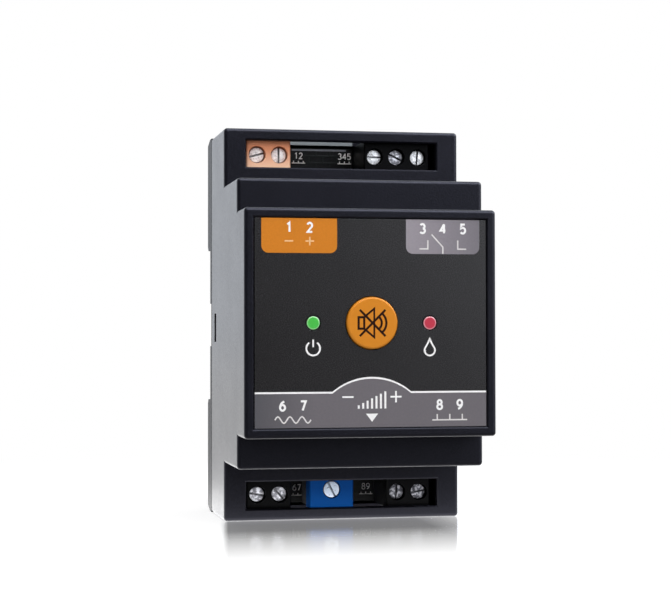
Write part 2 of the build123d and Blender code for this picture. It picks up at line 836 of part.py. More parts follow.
# Screw terminals: a moulded block with a chamber, a screw well and a wire mouth per pole
def terminal_block(poles, center_x, end):
    """Moulded block of one terminal, its mouths facing the end wall."""
    axis_z = end * pole_z
    outer_z = end * (pole_z + terminal_depth / 2)
    chamber_width = cage_width + 2 * cage_clear
    with BuildPart() as block:
        with BuildSketch(Plane.XZ.offset(main_front)):
            with Locations((center_x, axis_z)):
                Rectangle(poles * pole_spacing, terminal_depth)
        extrude(amount=terminal_top - main_front)
        chamfer(block.faces().sort_by(Axis.Y)[0].edges(), terminal_bevel)
        with BuildSketch(Plane.XZ.offset(main_front)):
            with Locations((center_x, axis_z)):
                with GridLocations(pole_spacing, pole_spacing, poles, 1):
                    Rectangle(chamber_width, 2 * chamber_half_depth)
        extrude(amount=chamber_top - main_front, mode=Mode.SUBTRACT)
        # Slots for the contacts' legs, open to the chambers
        with BuildSketch(Plane.XZ.offset(main_front)):
            with Locations((center_x, end * (pole_z - chamber_half_depth))):
                with GridLocations(pole_spacing, pole_spacing, poles, 1):
                    Rectangle(contact_width + 2 * pin_clear, 2 * contact_thickness)
        extrude(amount=contact_top + pin_clear - main_front, mode=Mode.SUBTRACT)
        with BuildSketch(Plane.XZ.offset(terminal_top)):
            with Locations((center_x, axis_z)):
                with GridLocations(pole_spacing, pole_spacing, poles, 1):
                    Circle(well_radius)
        extrude(amount=-well_depth, mode=Mode.SUBTRACT)
        with BuildSketch(Plane.XZ.offset(chamber_top)):
            with Locations((center_x, axis_z)):
                with GridLocations(pole_spacing, pole_spacing, poles, 1):
                    Circle(neck_radius)
        extrude(amount=neck_length, mode=Mode.SUBTRACT)
        # Wire mouths, which narrow inwards to the clamp's own opening
        mouth_depth = terminal_depth / 2 - chamber_half_depth
        mouth_center = (wire_floor + contact_bottom) / 2
        mouth_height = contact_bottom - wire_floor
        for x in pole_places(poles, center_x):
            with BuildSketch(Plane.XY.offset(outer_z)):
                with Locations((x, -mouth_center)):
                    Rectangle(cage_inner_width + 2 * wire_funnel, mouth_height + 2 * wire_funnel)
            with BuildSketch(Plane.XY.offset(outer_z - end * mouth_depth)):
                with Locations((x, -mouth_center)):
                    Rectangle(cage_inner_width, mouth_height)
            loft(mode=Mode.SUBTRACT)
    return block


def terminal_contacts(poles, center_x, end):
    """One contact per pole: a bar across the clamp, a leg and a pin through the board."""
    chamber_inner = pole_z - chamber_half_depth
    leg_outer = chamber_inner - contact_thickness
    bar_end = pole_z + chamber_half_depth - contact_end_gap
    with BuildPart() as contacts:
        for x in pole_places(poles, center_x):
            with BuildSketch(Plane.YZ.offset(x)):
                with BuildLine():
                    Polyline(
                        (-main_front, end * leg_outer),
                        (-contact_top, end * leg_outer),
                        (-contact_top, end * bar_end),
                        (-contact_bottom, end * bar_end),
                        (-contact_bottom, end * chamber_inner),
                        (-main_front, end * chamber_inner),
                        close=True,
                    )
                make_face()
            extrude(amount=contact_width / 2, both=True)
            with BuildSketch(Plane.XZ.offset(main_front)):
                with Locations((x, end * pin_z)):
                    Rectangle(pin_width, contact_thickness)
            extrude(amount=-(board_thickness + pin_tail))
    return contacts


def clamp_screw(x, end, angle):
    """Slotted screw whose head sits in the well and whose tip stands over the contact."""
    head_back = terminal_top - well_depth
    tip = contact_top + tip_gap
    with BuildPart() as screw:
        with BuildSketch(Plane.XZ.offset(head_back)):
            with Locations((x, end * pole_z)):
                Circle(clamp_head_radius)
        extrude(amount=clamp_head_thickness)
        chamfer(screw.faces().sort_by(Axis.Y)[0].edges(), clamp_head_edge)
        with BuildSketch(Plane.XZ.offset(head_back + clamp_head_thickness)):
            with Locations((x, end * pole_z)):
                Rectangle(2 * clamp_head_radius + overrun, clamp_slot_width, rotation=angle)
        extrude(amount=-clamp_slot_depth, mode=Mode.SUBTRACT)
        with BuildSketch(Plane.XZ.offset(tip)):
            with Locations((x, end * pole_z)):
                Circle(clamp_screw_radius)
        extrude(amount=head_back - tip)
    return screw


def clamp_cage(x, end):
    """Rising clamp: a square cage with an opening along Z and the screw's hole in its roof."""
    axis_z = end * pole_z
    window_height = cage_height - cage_roof - cage_floor
    window_center = wire_floor + window_height / 2
    with BuildPart() as cage:
        with BuildSketch(Plane.XZ.offset(cage_bottom)):
            with Locations((x, axis_z)):
                Rectangle(cage_width, cage_depth)
        extrude(amount=cage_height)
        with BuildSketch(Plane.XY.offset(axis_z)):
            with Locations((x, -window_center)):
                Rectangle(cage_inner_width, window_height)
        extrude(amount=cage_depth, both=True, mode=Mode.SUBTRACT)
        with BuildSketch(Plane.XZ.offset(cage_bottom + cage_height)):
            with Locations((x, axis_z)):
                Circle(clamp_screw_radius + thread_clear)
        extrude(amount=-cage_roof, mode=Mode.SUBTRACT)
    return cage


for name, poles, center_x, end, angles in terminals:
    block = terminal_block(poles, center_x, end)
    block.part.label = f"{name}_terminal"
    export_step(block.part, f"parts/{name}_terminal.step")
    contacts = terminal_contacts(poles, center_x, end)
    contacts.part.label = f"{name}_contacts"
    export_step(contacts.part, f"parts/{name}_contacts.step")
    for number, x in enumerate(pole_places(poles, center_x), start=1):
        screw = clamp_screw(x, end, angles[number - 1])
        screw.part.label = f"{name}_screw_{number}"
        export_step(screw.part, f"parts/{name}_screw_{number}.step")
        cage = clamp_cage(x, end)
        cage.part.label = f"{name}_clamp_{number}"
        export_step(cage.part, f"parts/{name}_clamp_{number}.step")

# Sensitivity trimmer: a square body on a spacer, whose slotted rotor turns in a well
trimmer_top = terminal_top - trimmer_drop
trimmer_back = trimmer_top - trimmer_height
rotor_back = trimmer_top - rotor_sink - rotor_head
with BuildPart() as trimmer_body:
    with BuildSketch(Plane.XZ.offset(trimmer_back)):
        with Locations((trimmer_x, trimmer_z)):
            Rectangle(trimmer_width, trimmer_depth)
    extrude(amount=trimmer_height)
    chamfer(trimmer_body.faces().sort_by(Axis.Y)[0].edges(), terminal_bevel)
    with BuildSketch(Plane.XZ.offset(trimmer_top)):
        with Locations((trimmer_x, trimmer_z)):
            Circle(rotor_radius + rotor_clear)
    extrude(amount=rotor_back - trimmer_top, mode=Mode.SUBTRACT)
    with BuildSketch(Plane.XZ.offset(rotor_back)):
        with Locations((trimmer_x, trimmer_z)):
            Circle(rotor_shaft_radius + rotor_shaft_clear)
    extrude(amount=-(rotor_shaft_length + rotor_shaft_clear), mode=Mode.SUBTRACT)
    with BuildSketch(Plane.XZ.offset(trimmer_back)):
        with Locations(*trimmer_pins):
            Circle(component_pin_radius)
    extrude(amount=-(trimmer_back - main_back + component_pin_tail))
trimmer_body.part.label = "trimmer_body"
export_step(trimmer_body.part, "parts/trimmer_body.step")

with BuildPart() as trimmer_spacer:
    with BuildSketch(Plane.XZ.offset(main_front)):
        with Locations((trimmer_x, trimmer_z)):
            Rectangle(trimmer_width - 2 * spacer_inset, trimmer_depth - 2 * spacer_inset)
        with Locations(*trimmer_pins):
            Circle(component_pin_radius + spacer_hole_clear, mode=Mode.SUBTRACT)
    extrude(amount=trimmer_back - main_front)
    with BuildSketch(Plane.XZ.offset(main_front)):
        with Locations((trimmer_x, trimmer_z)):
            Rectangle(spacer_vent_width, trimmer_depth)
    extrude(amount=spacer_vent_height, mode=Mode.SUBTRACT)
trimmer_spacer.part.label = "trimmer_spacer"
export_step(trimmer_spacer.part, "parts/trimmer_spacer.step")

with BuildPart() as trimmer_rotor:
    with BuildSketch(Plane.XZ.offset(rotor_back)):
        with Locations((trimmer_x, trimmer_z)):
            Circle(rotor_radius)
    extrude(amount=rotor_head)
    chamfer(trimmer_rotor.faces().sort_by(Axis.Y)[0].edges(), clamp_head_edge)
    with BuildSketch(Plane.XZ.offset(rotor_back + rotor_head)):
        with Locations((trimmer_x, trimmer_z)):
            Rectangle(2 * rotor_radius + overrun, clamp_slot_width, rotation=trimmer_angle)
    extrude(amount=-clamp_slot_depth, mode=Mode.SUBTRACT)
    with BuildSketch(Plane.XZ.offset(rotor_back)):
        with Locations((trimmer_x, trimmer_z)):
            Circle(rotor_shaft_radius)
    extrude(amount=-rotor_shaft_length)
trimmer_rotor.part.label = "trimmer_rotor"
export_step(trimmer_rotor.part, "parts/trimmer_rotor.step")


# Riser: a socket on each board, a row of plugged pins at each end, and the board between
def pin_row_places():
    """Front-view places of one row of riser pins."""
    first_z = -(pin_count - 1) * pin_spacing / 2
    return [(row_x, first_z + i * pin_spacing) for i in range(pin_count)]


socket_length = pin_count * pin_spacing + 2 * socket_end
main_socket_front = main_front + socket_height
display_socket_back = display_back - socket_height
riser_back = main_socket_front + plug_height
riser_front = display_socket_back - plug_height


def socket(base, direction):
    """Socket that stands on a board's face at a front height, on its +1 or -1 side."""
    with BuildPart() as body:
        with BuildSketch(Plane.XZ.offset(base)):
            with Locations((row_x, 0)):
                Rectangle(socket_width, socket_length)
        extrude(amount=direction * socket_height)
        with BuildSketch(Plane.XZ.offset(base + direction * socket_height)):
            with Locations(*pin_row_places()):
                Rectangle(pin_size + 2 * pin_hole_clear, pin_size + 2 * pin_hole_clear)
        extrude(amount=-direction * (pin_reach + pin_hole_clear), mode=Mode.SUBTRACT)
    return body


main_socket = socket(main_front, 1)
main_socket.part.label = "main_socket"
export_step(main_socket.part, "parts/main_socket.step")

display_socket = socket(display_back, -1)
display_socket.part.label = "display_socket"
export_step(display_socket.part, "parts/display_socket.step")

with BuildPart() as riser_pins:
    for end_front in (main_socket_front - pin_reach, riser_front - pin_overlap):
        with BuildSketch(Plane.XZ.offset(end_front)):
            with Locations(*pin_row_places()):
                Rectangle(pin_size, pin_size)
        extrude(amount=pin_reach + plug_height + pin_overlap)
riser_pins.part.label = "riser_pins"
export_step(riser_pins.part, "parts/riser_pins.step")

with BuildPart() as riser_plugs:
    for plug_back in (main_socket_front, riser_front):
        with BuildSketch(Plane.XZ.offset(plug_back)):
            with Locations((row_x, 0)):
                Rectangle(socket_width, socket_length)
            with Locations(*pin_row_places()):
                Rectangle(pin_size, pin_size, mode=Mode.SUBTRACT)
        extrude(amount=plug_height)
riser_plugs.part.label = "riser_plugs"
export_step(riser_plugs.part, "parts/riser_plugs.step")

with BuildPart() as riser_board:
    with BuildSketch(Plane.XZ.offset(riser_back)):
        with Locations((riser_x, 0)):
            Rectangle(board_thickness, riser_height, align=(Align.MIN, Align.CENTER))
    extrude(amount=riser_front - riser_back)
riser_board.part.label = "riser_board"
export_step(riser_board.part, "parts/riser_board.step")


# Components: each is a sealed body on its own pins
def pin_group(places):
    """Round pins from the main board's front through it and out at its back."""
    with BuildPart() as pins:
        with BuildSketch(Plane.XZ.offset(main_front)):
            with Locations(*places):
                Circle(component_pin_radius)
        extrude(amount=-(board_thickness + component_pin_tail))
    return pins.part


pins_under_relay = pin_group(relay_pins)
with BuildPart() as relay:
    with BuildSketch(Plane.XZ.offset(main_front)):
        with Locations((relay_x, relay_z)):
            RectangleRounded(relay_width, relay_length, relay_edge)
    extrude(amount=relay_height)
    chamfer(relay.faces().sort_by(Axis.Y)[0].edges(), relay_edge / 2)
    add(pins_under_relay)
relay.part.label = "relay"
export_step(relay.part, "parts/relay.step")

pins_under_buzzer = pin_group(buzzer_pins)
with BuildPart() as buzzer:
    with BuildSketch(Plane.XZ.offset(main_front)):
        with Locations((buzzer_x, buzzer_z)):
            Circle(buzzer_radius)
    extrude(amount=buzzer_height)
    chamfer(buzzer.faces().sort_by(Axis.Y)[0].edges(), buzzer_edge)
    with BuildSketch(Plane.XZ.offset(main_front + buzzer_height)):
        with Locations((buzzer_x, buzzer_z)):
            Circle(buzzer_port_radius)
    extrude(amount=-buzzer_port_depth, mode=Mode.SUBTRACT)
    add(pins_under_buzzer)
buzzer.part.label = "buzzer"
export_step(buzzer.part, "parts/buzzer.step")

pins_under_capacitors = pin_group(capacitor_pins)
with BuildPart() as filter_capacitors:
    with BuildSketch(Plane.XZ.offset(main_front)):
        with Locations(*capacitor_places):
            Circle(capacitor_radius)
    extrude(amount=capacitor_height)
    # Crimped neck of each can
    with BuildSketch(Plane.XZ.offset(main_front + capacitor_neck_height)):
        with Locations(*capacitor_places):
            Circle(capacitor_radius)
            Circle(capacitor_radius - capacitor_neck, mode=Mode.SUBTRACT)
    extrude(amount=capacitor_neck, mode=Mode.SUBTRACT)
    add(pins_under_capacitors)
filter_capacitors.part.label = "filter_capacitors"
export_step(filter_capacitors.part, "parts/filter_capacitors.step")

pins_under_converter = pin_group(converter_pins)
with BuildPart() as power_converter:
    with BuildSketch(Plane.XZ.offset(main_front)):
        with Locations((converter_x, converter_z)):
            Rectangle(converter_width, converter_length)
    extrude(amount=converter_height)
    chamfer(power_converter.faces().sort_by(Axis.Y)[0].edges(), converter_edge)
    add(pins_under_converter)
power_converter.part.label = "power_converter"
export_step(power_converter.part, "parts/power_converter.step")


def chip(plane, width, length, spacing, count, four_sided):
    """Chip on a plane: a body on a lead frame whose feet show at two sides or at all four."""
    with BuildPart() as package:
        with BuildSketch(plane):
            with GridLocations(spacing, spacing, 1, count):
                Rectangle(width + 2 * chip_lead_reach, chip_lead_width)
            if four_sided:
                with GridLocations(spacing, spacing, count, 1):
                    Rectangle(chip_lead_width, length + 2 * chip_lead_reach)
        extrude(amount=chip_lift)
        with BuildSketch(plane.offset(chip_lift)):
            Rectangle(width, length)
        extrude(amount=chip_thickness)
        outward = Axis(plane.origin, plane.z_dir)
        chamfer(package.faces().sort_by(outward)[-1].edges(), chip_edge)
    return package


riser_middle = (riser_front + riser_back) / 2
controller_plane = Plane(origin=(riser_x, -riser_middle, 0), x_dir=(0, 1, 0), z_dir=(-1, 0, 0))
microcontroller = chip(
    controller_plane,
    controller_size,
    controller_size,
    controller_lead_spacing,
    controller_lead_count,
    True,
)
microcontroller.part.label = "microcontroller"
export_step(microcontroller.part, "parts/microcontroller.step")

driver_plane = Plane(origin=(driver_x, -main_front, driver_z), x_dir=(1, 0, 0), z_dir=(0, -1, 0))
bus_driver = chip(
    driver_plane,
    driver_width,
    driver_length,
    driver_lead_spacing,
    driver_lead_count,
    False,
)
bus_driver.part.label = "bus_driver"
export_step(bus_driver.part, "parts/bus_driver.step")
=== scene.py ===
"""Looks of the leak detection controller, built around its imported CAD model.

Everything is in metres in the model's own frame: X runs along the rail, +Z is up and the
front faces -Y. Sizes inside the classes are in millimetres and become metres through MM.
"""

import logging
from collections.abc import Callable
from dataclasses import dataclass, field
from enum import Enum
from functools import partial
from math import cos, pi, radians, sin
from typing import NamedTuple

import bmesh
import bpy
import numpy as np
from mathutils import Matrix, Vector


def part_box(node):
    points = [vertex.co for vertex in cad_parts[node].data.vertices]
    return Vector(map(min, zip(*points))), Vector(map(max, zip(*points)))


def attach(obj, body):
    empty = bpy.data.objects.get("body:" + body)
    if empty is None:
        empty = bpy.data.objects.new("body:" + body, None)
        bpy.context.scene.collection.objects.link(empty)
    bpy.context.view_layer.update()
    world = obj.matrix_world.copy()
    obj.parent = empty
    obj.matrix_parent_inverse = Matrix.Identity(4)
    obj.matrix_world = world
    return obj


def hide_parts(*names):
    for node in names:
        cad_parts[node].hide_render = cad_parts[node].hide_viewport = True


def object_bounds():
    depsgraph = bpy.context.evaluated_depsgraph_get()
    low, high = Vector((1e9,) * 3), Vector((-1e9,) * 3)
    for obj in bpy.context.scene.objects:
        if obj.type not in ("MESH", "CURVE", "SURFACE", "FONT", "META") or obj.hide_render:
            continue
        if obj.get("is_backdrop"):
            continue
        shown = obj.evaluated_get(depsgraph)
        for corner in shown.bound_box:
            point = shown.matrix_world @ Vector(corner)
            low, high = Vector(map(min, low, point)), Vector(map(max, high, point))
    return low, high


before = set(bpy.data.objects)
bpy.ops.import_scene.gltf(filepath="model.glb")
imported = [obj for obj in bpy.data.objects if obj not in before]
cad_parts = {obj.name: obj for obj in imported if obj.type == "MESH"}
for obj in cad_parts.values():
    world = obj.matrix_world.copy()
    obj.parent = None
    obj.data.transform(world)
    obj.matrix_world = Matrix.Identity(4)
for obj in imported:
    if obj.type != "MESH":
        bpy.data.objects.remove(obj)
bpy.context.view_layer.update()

MM = 0.001
WELD = 0.0005 * MM
SLIVER = 0.0002 * MM
WHITE = (1.0, 1.0, 1.0, 1.0)
BLACK = (0.0, 0.0, 0.0, 1.0)
LOG = logging.getLogger("leak_controller")
Node = bpy.types.Node
Socket = bpy.types.NodeSocket
# add_node with its tree filled in
Adder = Callable[..., Node]
# X in millimetres with the colour there, at a grade's start and end
Grade = tuple[tuple[float, str], tuple[float, str]]


# ---------------------------------------------------------------- small shared functions
def linear(colour: str) -> tuple[float, float, float, float]:
    """Turns an sRGB hex colour into linear light.

    Args:
        colour: Six hex digits after a hash sign.

    Returns:
        Red, green, blue and an alpha of one.
    """
    parts = [int(colour[i : i + 2], 16) / 255 for i in (1, 3, 5)]
    curve = [c / 12.92 if c <= 0.04045 else ((c + 0.055) / 1.055) ** 2.4 for c in parts]
    return (*curve, 1.0)


def feed(node: Node, links: dict) -> None:
    """Links inputs of a node.

    Args:
        node: The node that is fed.
        links: What feeds each input, by the input's name or number: an output socket, or a
            node, which then gives its first output.
    """
    for key, source in links.items():
        socket = source.outputs[0] if isinstance(source, Node) else source
        node.id_data.links.new(socket, node.inputs[key])


def add_node(
    tree: bpy.types.NodeTree, kind: str, settings: dict | None = None, links: dict | None = None
) -> Node:
    """Adds one node, sets its properties and sockets, and links its inputs.

    Args:
        tree: Node tree that takes the node.
        kind: Blender's name of the node type, without its leading "ShaderNode".
        settings: Values by property name, or by input socket name or number.
        links: What feeds its inputs, as feed takes it.

    Returns:
        The new node.
    """
    node = tree.nodes.new(f"ShaderNode{kind}")
    for key, value in (settings or {}).items():
        if isinstance(key, str) and hasattr(node, key):
            setattr(node, key, value)
        else:
            node.inputs[key].default_value = value
    feed(node, links or {})
    return node


def new_material(name: str) -> tuple[bpy.types.Material, Adder]:
    """Makes an empty node material.

    Args:
        name: Name of the real material that it stands for.

    Returns:
        The material, and add_node for its cleared tree.
    """
    material = bpy.data.materials.new(name)
    material.use_nodes = True
    material.node_tree.nodes.clear()
    return material, partial(add_node, material.node_tree)


def new_object(name: str, data: bpy.types.ID) -> bpy.types.Object:
    """Makes an object and links it to the scene.

    Args:
        name: Name of the object.
        data: Its mesh, camera or light.

    Returns:
        The object, at the origin.
    """
    made = bpy.data.objects.new(name, data)
    bpy.context.scene.collection.objects.link(made)
    return made


def stand(thing: bpy.types.Object, axes: tuple[np.ndarray, ...], place: np.ndarray) -> None:
    """Turns and places a camera or a lamp.

    Args:
        thing: The object.
        axes: Unit vectors along which its own X, Y and Z come to lie.
        place: Where its origin goes, in metres.
    """
    basis = np.eye(4)
    basis[:3, :3] = np.stack(axes, axis=1)
    basis[:3, 3] = place
    thing.matrix_world = Matrix(basis.tolist())


# ---------------------------------------------------------------- finishes
class Canvas(NamedTuple):
    """A material under way: add_node for its tree, its shader and its Object coordinates."""

    add: Adder
    shader: Node
    place: Socket


@dataclass(frozen=True)
class Finish:
    """Base of all finishes: a principled surface of one colour."""

    name: str
    colour: str
    roughness: float
    ior: float = 1.5
    metallic: float = 0.0
    level: float = 0.5

    def material(self) -> bpy.types.Material:
        """Makes the finish's material on its first use, and finds it again later.

        Returns:
            The material.
        """
        found = bpy.data.materials.get(self.name)
        if found:
            return found
        material, add = new_material(self.name)
        settings = {"Roughness": self.roughness, "Base Color": linear(self.colour)}
        if self.metallic:
            settings["Metallic"] = self.metallic
        else:
            settings |= {"IOR": self.ior, "Specular IOR Level": self.level}
        shader = add("BsdfPrincipled", settings)
        self.detail(Canvas(add, shader, add("TexCoord").outputs["Object"]))
        add("OutputMaterial", links={"Surface": shader})
        return material

    def detail(self, canvas: Canvas) -> None:
        """Adds what makes the surface more than one flat colour."""


@dataclass(frozen=True)
class MouldedPlastic(Finish):
    """Injection-moulded plastic from a spark-eroded or polished tool.

    The tool's grain shows as a fine bump and as patches that differ slightly in gloss, and
    the resin's shade drifts a little. Edges catch light over edge_mm, as real ones do. A
    painted light zone takes a lighter colour that stands in for light falling there: each of
    its rows is an axis and the millimetres where it starts and is full, and the rows multiply.
    """

    grain_mm: float = 0.30
    grain_depth_mm: float = 0.010
    patch_mm: float = 9.0
    second_colour: str = ""
    drift: float = 0.35
    edge_mm: float = 0.12
    sheen: str = "#ffffff"
    painted_light_zone: tuple[tuple[str, float, float], ...] = ()
    painted_light_colour: str = "#ffffff"

    def detail(self, canvas: Canvas) -> None:
        """Adds the grain, the drift of shade and gloss, and softened edges.

        Args:
            canvas: The material under way.
        """
        add, shader, place = canvas
        shader.inputs["Specular Tint"].default_value = linear(self.sheen)
        fine = {"Scale": 1 / (self.grain_mm * MM), "Detail": 3.0, "Roughness": 0.6}
        grain = add("TexNoise", fine, {"Vector": place})
        broad = {"Scale": 1 / (self.patch_mm * MM), "Detail": 2.0}
        patches = add("TexNoise", broad, {"Vector": place})
        both = add("Math", {"operation": "MULTIPLY_ADD", 1: 0.25}, {0: patches, 2: grain})
        noise = {"From Min": 0.4, "From Max": 0.9}
        rough = {"To Min": self.roughness - 0.04, "To Max": self.roughness + 0.05}
        gloss = add("MapRange", noise | rough, {"Value": both})
        shade = add("MapRange", noise | {"To Max": self.drift}, {"Value": both})
        second = linear(self.second_colour or self.colour)
        mix = add("MixRGB", {"Color1": linear(self.colour), "Color2": second}, {"Fac": shade})
        # Painted light: the zone lightens the colour where light falls on the real part
        if self.painted_light_zone:
            mix = self.paint_light_zone(canvas, mix)
        soft = add("Bevel", {"samples": 6, "Radius": self.edge_mm * MM})
        relief = {"Strength": 1.0, "Distance": self.grain_depth_mm * MM}
        bump = add("Bump", relief, {"Height": grain, "Normal": soft})
        feed(shader, {"Base Color": mix, "Roughness": gloss, "Normal": bump})

    def paint_light_zone(self, canvas: Canvas, under: Node) -> Node:
        """Mixes the painted light colour over the rest, by the product of the zone's rows.

        Args:
            canvas: The material under way.
            under: Node that gives the colour outside the zone.

        Returns:
            The node that gives both.
        """
        add = canvas.add
        parts = add("SeparateXYZ", links={"Vector": canvas.place})
        share = None
        for axis, start, full in self.painted_light_zone:
            links = {"Value": parts.outputs[axis]}
            if share is not None:
                links["To Max"] = share
            share = add("MapRange", {"From Min": start * MM, "From Max": full * MM}, links)
        return add("MixRGB", {"Color2": linear(self.painted_light_colour)}, {"Fac": share, "Color1": under})


@dataclass(frozen=True)
class ScreenInk(Finish):
    """Screen-printed ink: matt to satin, with the mesh's faint orange peel."""

    peel_mm: float = 0.45
    peel_depth_mm: float = 0.004

    def detail(self, canvas: Canvas) -> None:
        """Adds the ink's orange peel and slightly uneven cover.

        Args:
            canvas: The material under way.
        """
        add, shader, place = canvas
        peel = add("TexNoise", {"Scale": 1 / (self.peel_mm * MM), "Detail": 2.0}, {"Vector": place})
        thickness = {"From Min": 0.3, "From Max": 0.7, "To Min": 0.96, "To Max": 1.04}
        uneven = add("MapRange", thickness, {"Value": peel})
        cover = add("HueSaturation", links={"Value": uneven})
        ink = self.ink(canvas)
        if ink is None:
            cover.inputs["Color"].default_value = linear(self.colour)
        else:
            feed(cover, {"Color": ink})
        bump = add("Bump", {"Strength": 0.6, "Distance": self.peel_depth_mm * MM}, {"Height": peel})
        feed(shader, {"Base Color": cover, "Normal": bump})

    def ink(self, canvas: Canvas) -> Node | None:
        """Gives the node of the ink's colour, or None where it has the one colour."""
        return None


@dataclass(frozen=True)
class GradedInk(ScreenInk):
    """Screen ink whose colour grades along X, so that each field is darker at one end.

    Each grade is the X in millimetres where it starts and ends with the colour there. The
    first holds above the plate's middle and the second below it.
    """

    upper: Grade = ((0.0, "#808080"), (1.0, "#808080"))
    lower: Grade = ((0.0, "#808080"), (1.0, "#808080"))

    def ink(self, canvas: Canvas) -> Node:
        """Blends each grade along X, and picks one of them by the sign of Z.

        Args:
            canvas: The material under way.

        Returns:
            The node that gives the colour.
        """
        add = canvas.add
        parts = add("SeparateXYZ", links={"Vector": canvas.place})
        above = add("Math", {"operation": "GREATER_THAN", 1: 0.0}, {0: parts.outputs["Z"]})
        links = {"Fac": above}
        for key, ((start, first), (end, last)) in (("Color1", self.lower), ("Color2", self.upper)):
            along = add(
                "MapRange",
                {"From Min": start * MM, "From Max": end * MM},
                {"Value": parts.outputs["X"]},
            )
            links[key] = add(
                "MixRGB", {"Color1": linear(first), "Color2": linear(last)}, {"Fac": along}
            )
        return add("MixRGB", links=links)


@dataclass(frozen=True)
class PlatedMetal(Finish):
    """Plated steel or brass: a drawn grain under a mottled gloss."""

    grain_mm: float = 0.2
    mottle_mm: float = 0.8
    relief_mm: float = 0.004

    def detail(self, canvas: Canvas) -> None:
        """Adds the mottled gloss and the relief.

        Args:
            canvas: The material under way.
        """
        add, shader, place = canvas
        mottle = add(
            "TexNoise", {"Scale": 1 / (self.mottle_mm * MM), "Detail": 3.0}, {"Vector": place}
        )
        rough = {"To Min": self.roughness - 0.08, "To Max": self.roughness + 0.10}
        gloss = add("MapRange", {"From Min": 0.3, "From Max": 0.7} | rough, {"Value": mottle})
        relief = {"Strength": 0.7, "Distance": self.relief_mm * MM}
        lines = self.lines(canvas, mottle)
        bump = add("Bump", relief, {"Height": lines.outputs["Fac"]})
        feed(shader, {"Roughness": gloss, "Normal": bump})

    def lines(self, canvas: Canvas, mottle: Node) -> Node:
        """Adds the pattern of the relief.

        Args:
            canvas: The material under way.
            mottle: The noise that mottles the gloss.

        Returns:
            The node that gives the height.
        """
        scale = 1 / (self.grain_mm * MM)
        return canvas.add("TexNoise", {"Scale": scale, "Detail": 3.0}, {"Vector": canvas.place})


@dataclass(frozen=True)
class TurnedMetal(PlatedMetal):
    """Plated metal off a lathe: fine turning rings on UV millimetres.

    It has painted shade, with some grime, where its own walls and its neighbours' shut the light
    out, as in a screwdriver slot, and patches of a second colour, painted darker on the screws
    that sit in shade.
    """

    relief_mm: float = 0.012
    ring_mm: float = 0.14
    # Painted shade in hollows, with some grime, and patches painted darker on shaded screws
    grime_and_shade: str = "#26262a"
    shade_reach_mm: float = 0.5
    patch_shade: str = ""

    def lines(self, canvas: Canvas, mottle: Node) -> Node:
        """Adds the rings as the relief, and the painted shade and shaded patches as the colour.

        A sphere pattern of scale s has a ring every 0.314 / s, which gives the scale.

        Args:
            canvas: The material under way.
            mottle: The noise that mottles the gloss, and here the patches.

        Returns:
            The node that gives the height.
        """
        add = canvas.add
        # Painted shade: darker where ambient occlusion finds walls within reach
        reach = {"samples": 12, "Distance": self.shade_reach_mm * MM}
        open_to_light = add(
            "MapRange",
            {"From Min": 0.40, "From Max": 0.80, "interpolation_type": "SMOOTHSTEP"},
            {"Value": add("AmbientOcclusion", reach).outputs["AO"]},
        )
        patch = add("MapRange", {"From Min": 0.46, "From Max": 0.58}, {"Value": mottle})
        bright = add(
            "MixRGB",
            {"Color1": linear(self.patch_shade or self.colour), "Color2": linear(self.colour)},
            {"Fac": patch},
        )
        shaded_and_patched = add("MixRGB", {"Color1": linear(self.grime_and_shade)}, {"Fac": open_to_light, "Color2": bright})
        feed(canvas.shader, {"Base Color": shaded_and_patched})
        return add(
            "TexWave",
            {
                "wave_type": "RINGS", "rings_direction": "SPHERICAL",
                "Scale": 0.314 / self.ring_mm, "Distortion": 0.8, "Detail": 2.0,
            },
            {"Vector": add("UVMap")},
        )


@dataclass(frozen=True)
class TintedResin(Finish):
    """Cast resin of a lit indicator: a glowing core inside a paler rim painted as a highlight, and
    a dark ring painted as the gap's shadow.
    """

    rim_highlight_colour: str = "#ffffff"
    gap_shadow_colour: str = "#1c1a1b"
    centre_mm: tuple[float, float] = (0.0, 0.0)
    core_mm: float = 1.05
    rim_mm: float = 1.30
    gap_mm: float = 1.42
    glow: float = 0.30
    depth_mm: float = 0.5

    def detail(self, canvas: Canvas) -> None:
        """Adds the painted highlight of the rim, the painted shadow of the gap and the glow, by
        distance from the indicator's axis.

        Args:
            canvas: The material under way.
        """
        add, shader, place = canvas
        x, z = (c * MM for c in self.centre_mm)
        centred = {"Location": (-x, 0.0, -z), "Scale": (1.0, 0.0, 1.0)}
        local = add("Mapping", centred, {"Vector": place})
        radius = add("VectorMath", {"operation": "LENGTH"}, {0: local})
        under = {}
        # Painted highlight over the rim, then painted shadow over the gap
        for start, end, colour in (
            (self.core_mm, self.rim_mm, self.rim_highlight_colour),
            (self.rim_mm, self.gap_mm, self.gap_shadow_colour),
        ):
            share = add(
                "MapRange",
                {"From Min": start * MM, "From Max": end * MM},
                {"Value": radius.outputs["Value"]},
            )
            colours = {"Color1": linear(self.colour), "Color2": linear(colour)}
            mix = add("MixRGB", colours, {"Fac": share} | under)
            under = {"Color1": mix}
        shader.inputs["Emission Strength"].default_value = self.glow
        shader.inputs["Subsurface Weight"].default_value = 0.2
        shader.inputs["Subsurface Scale"].default_value = self.depth_mm * MM
        feed(shader, {"Base Color": mix, "Emission Color": mix})


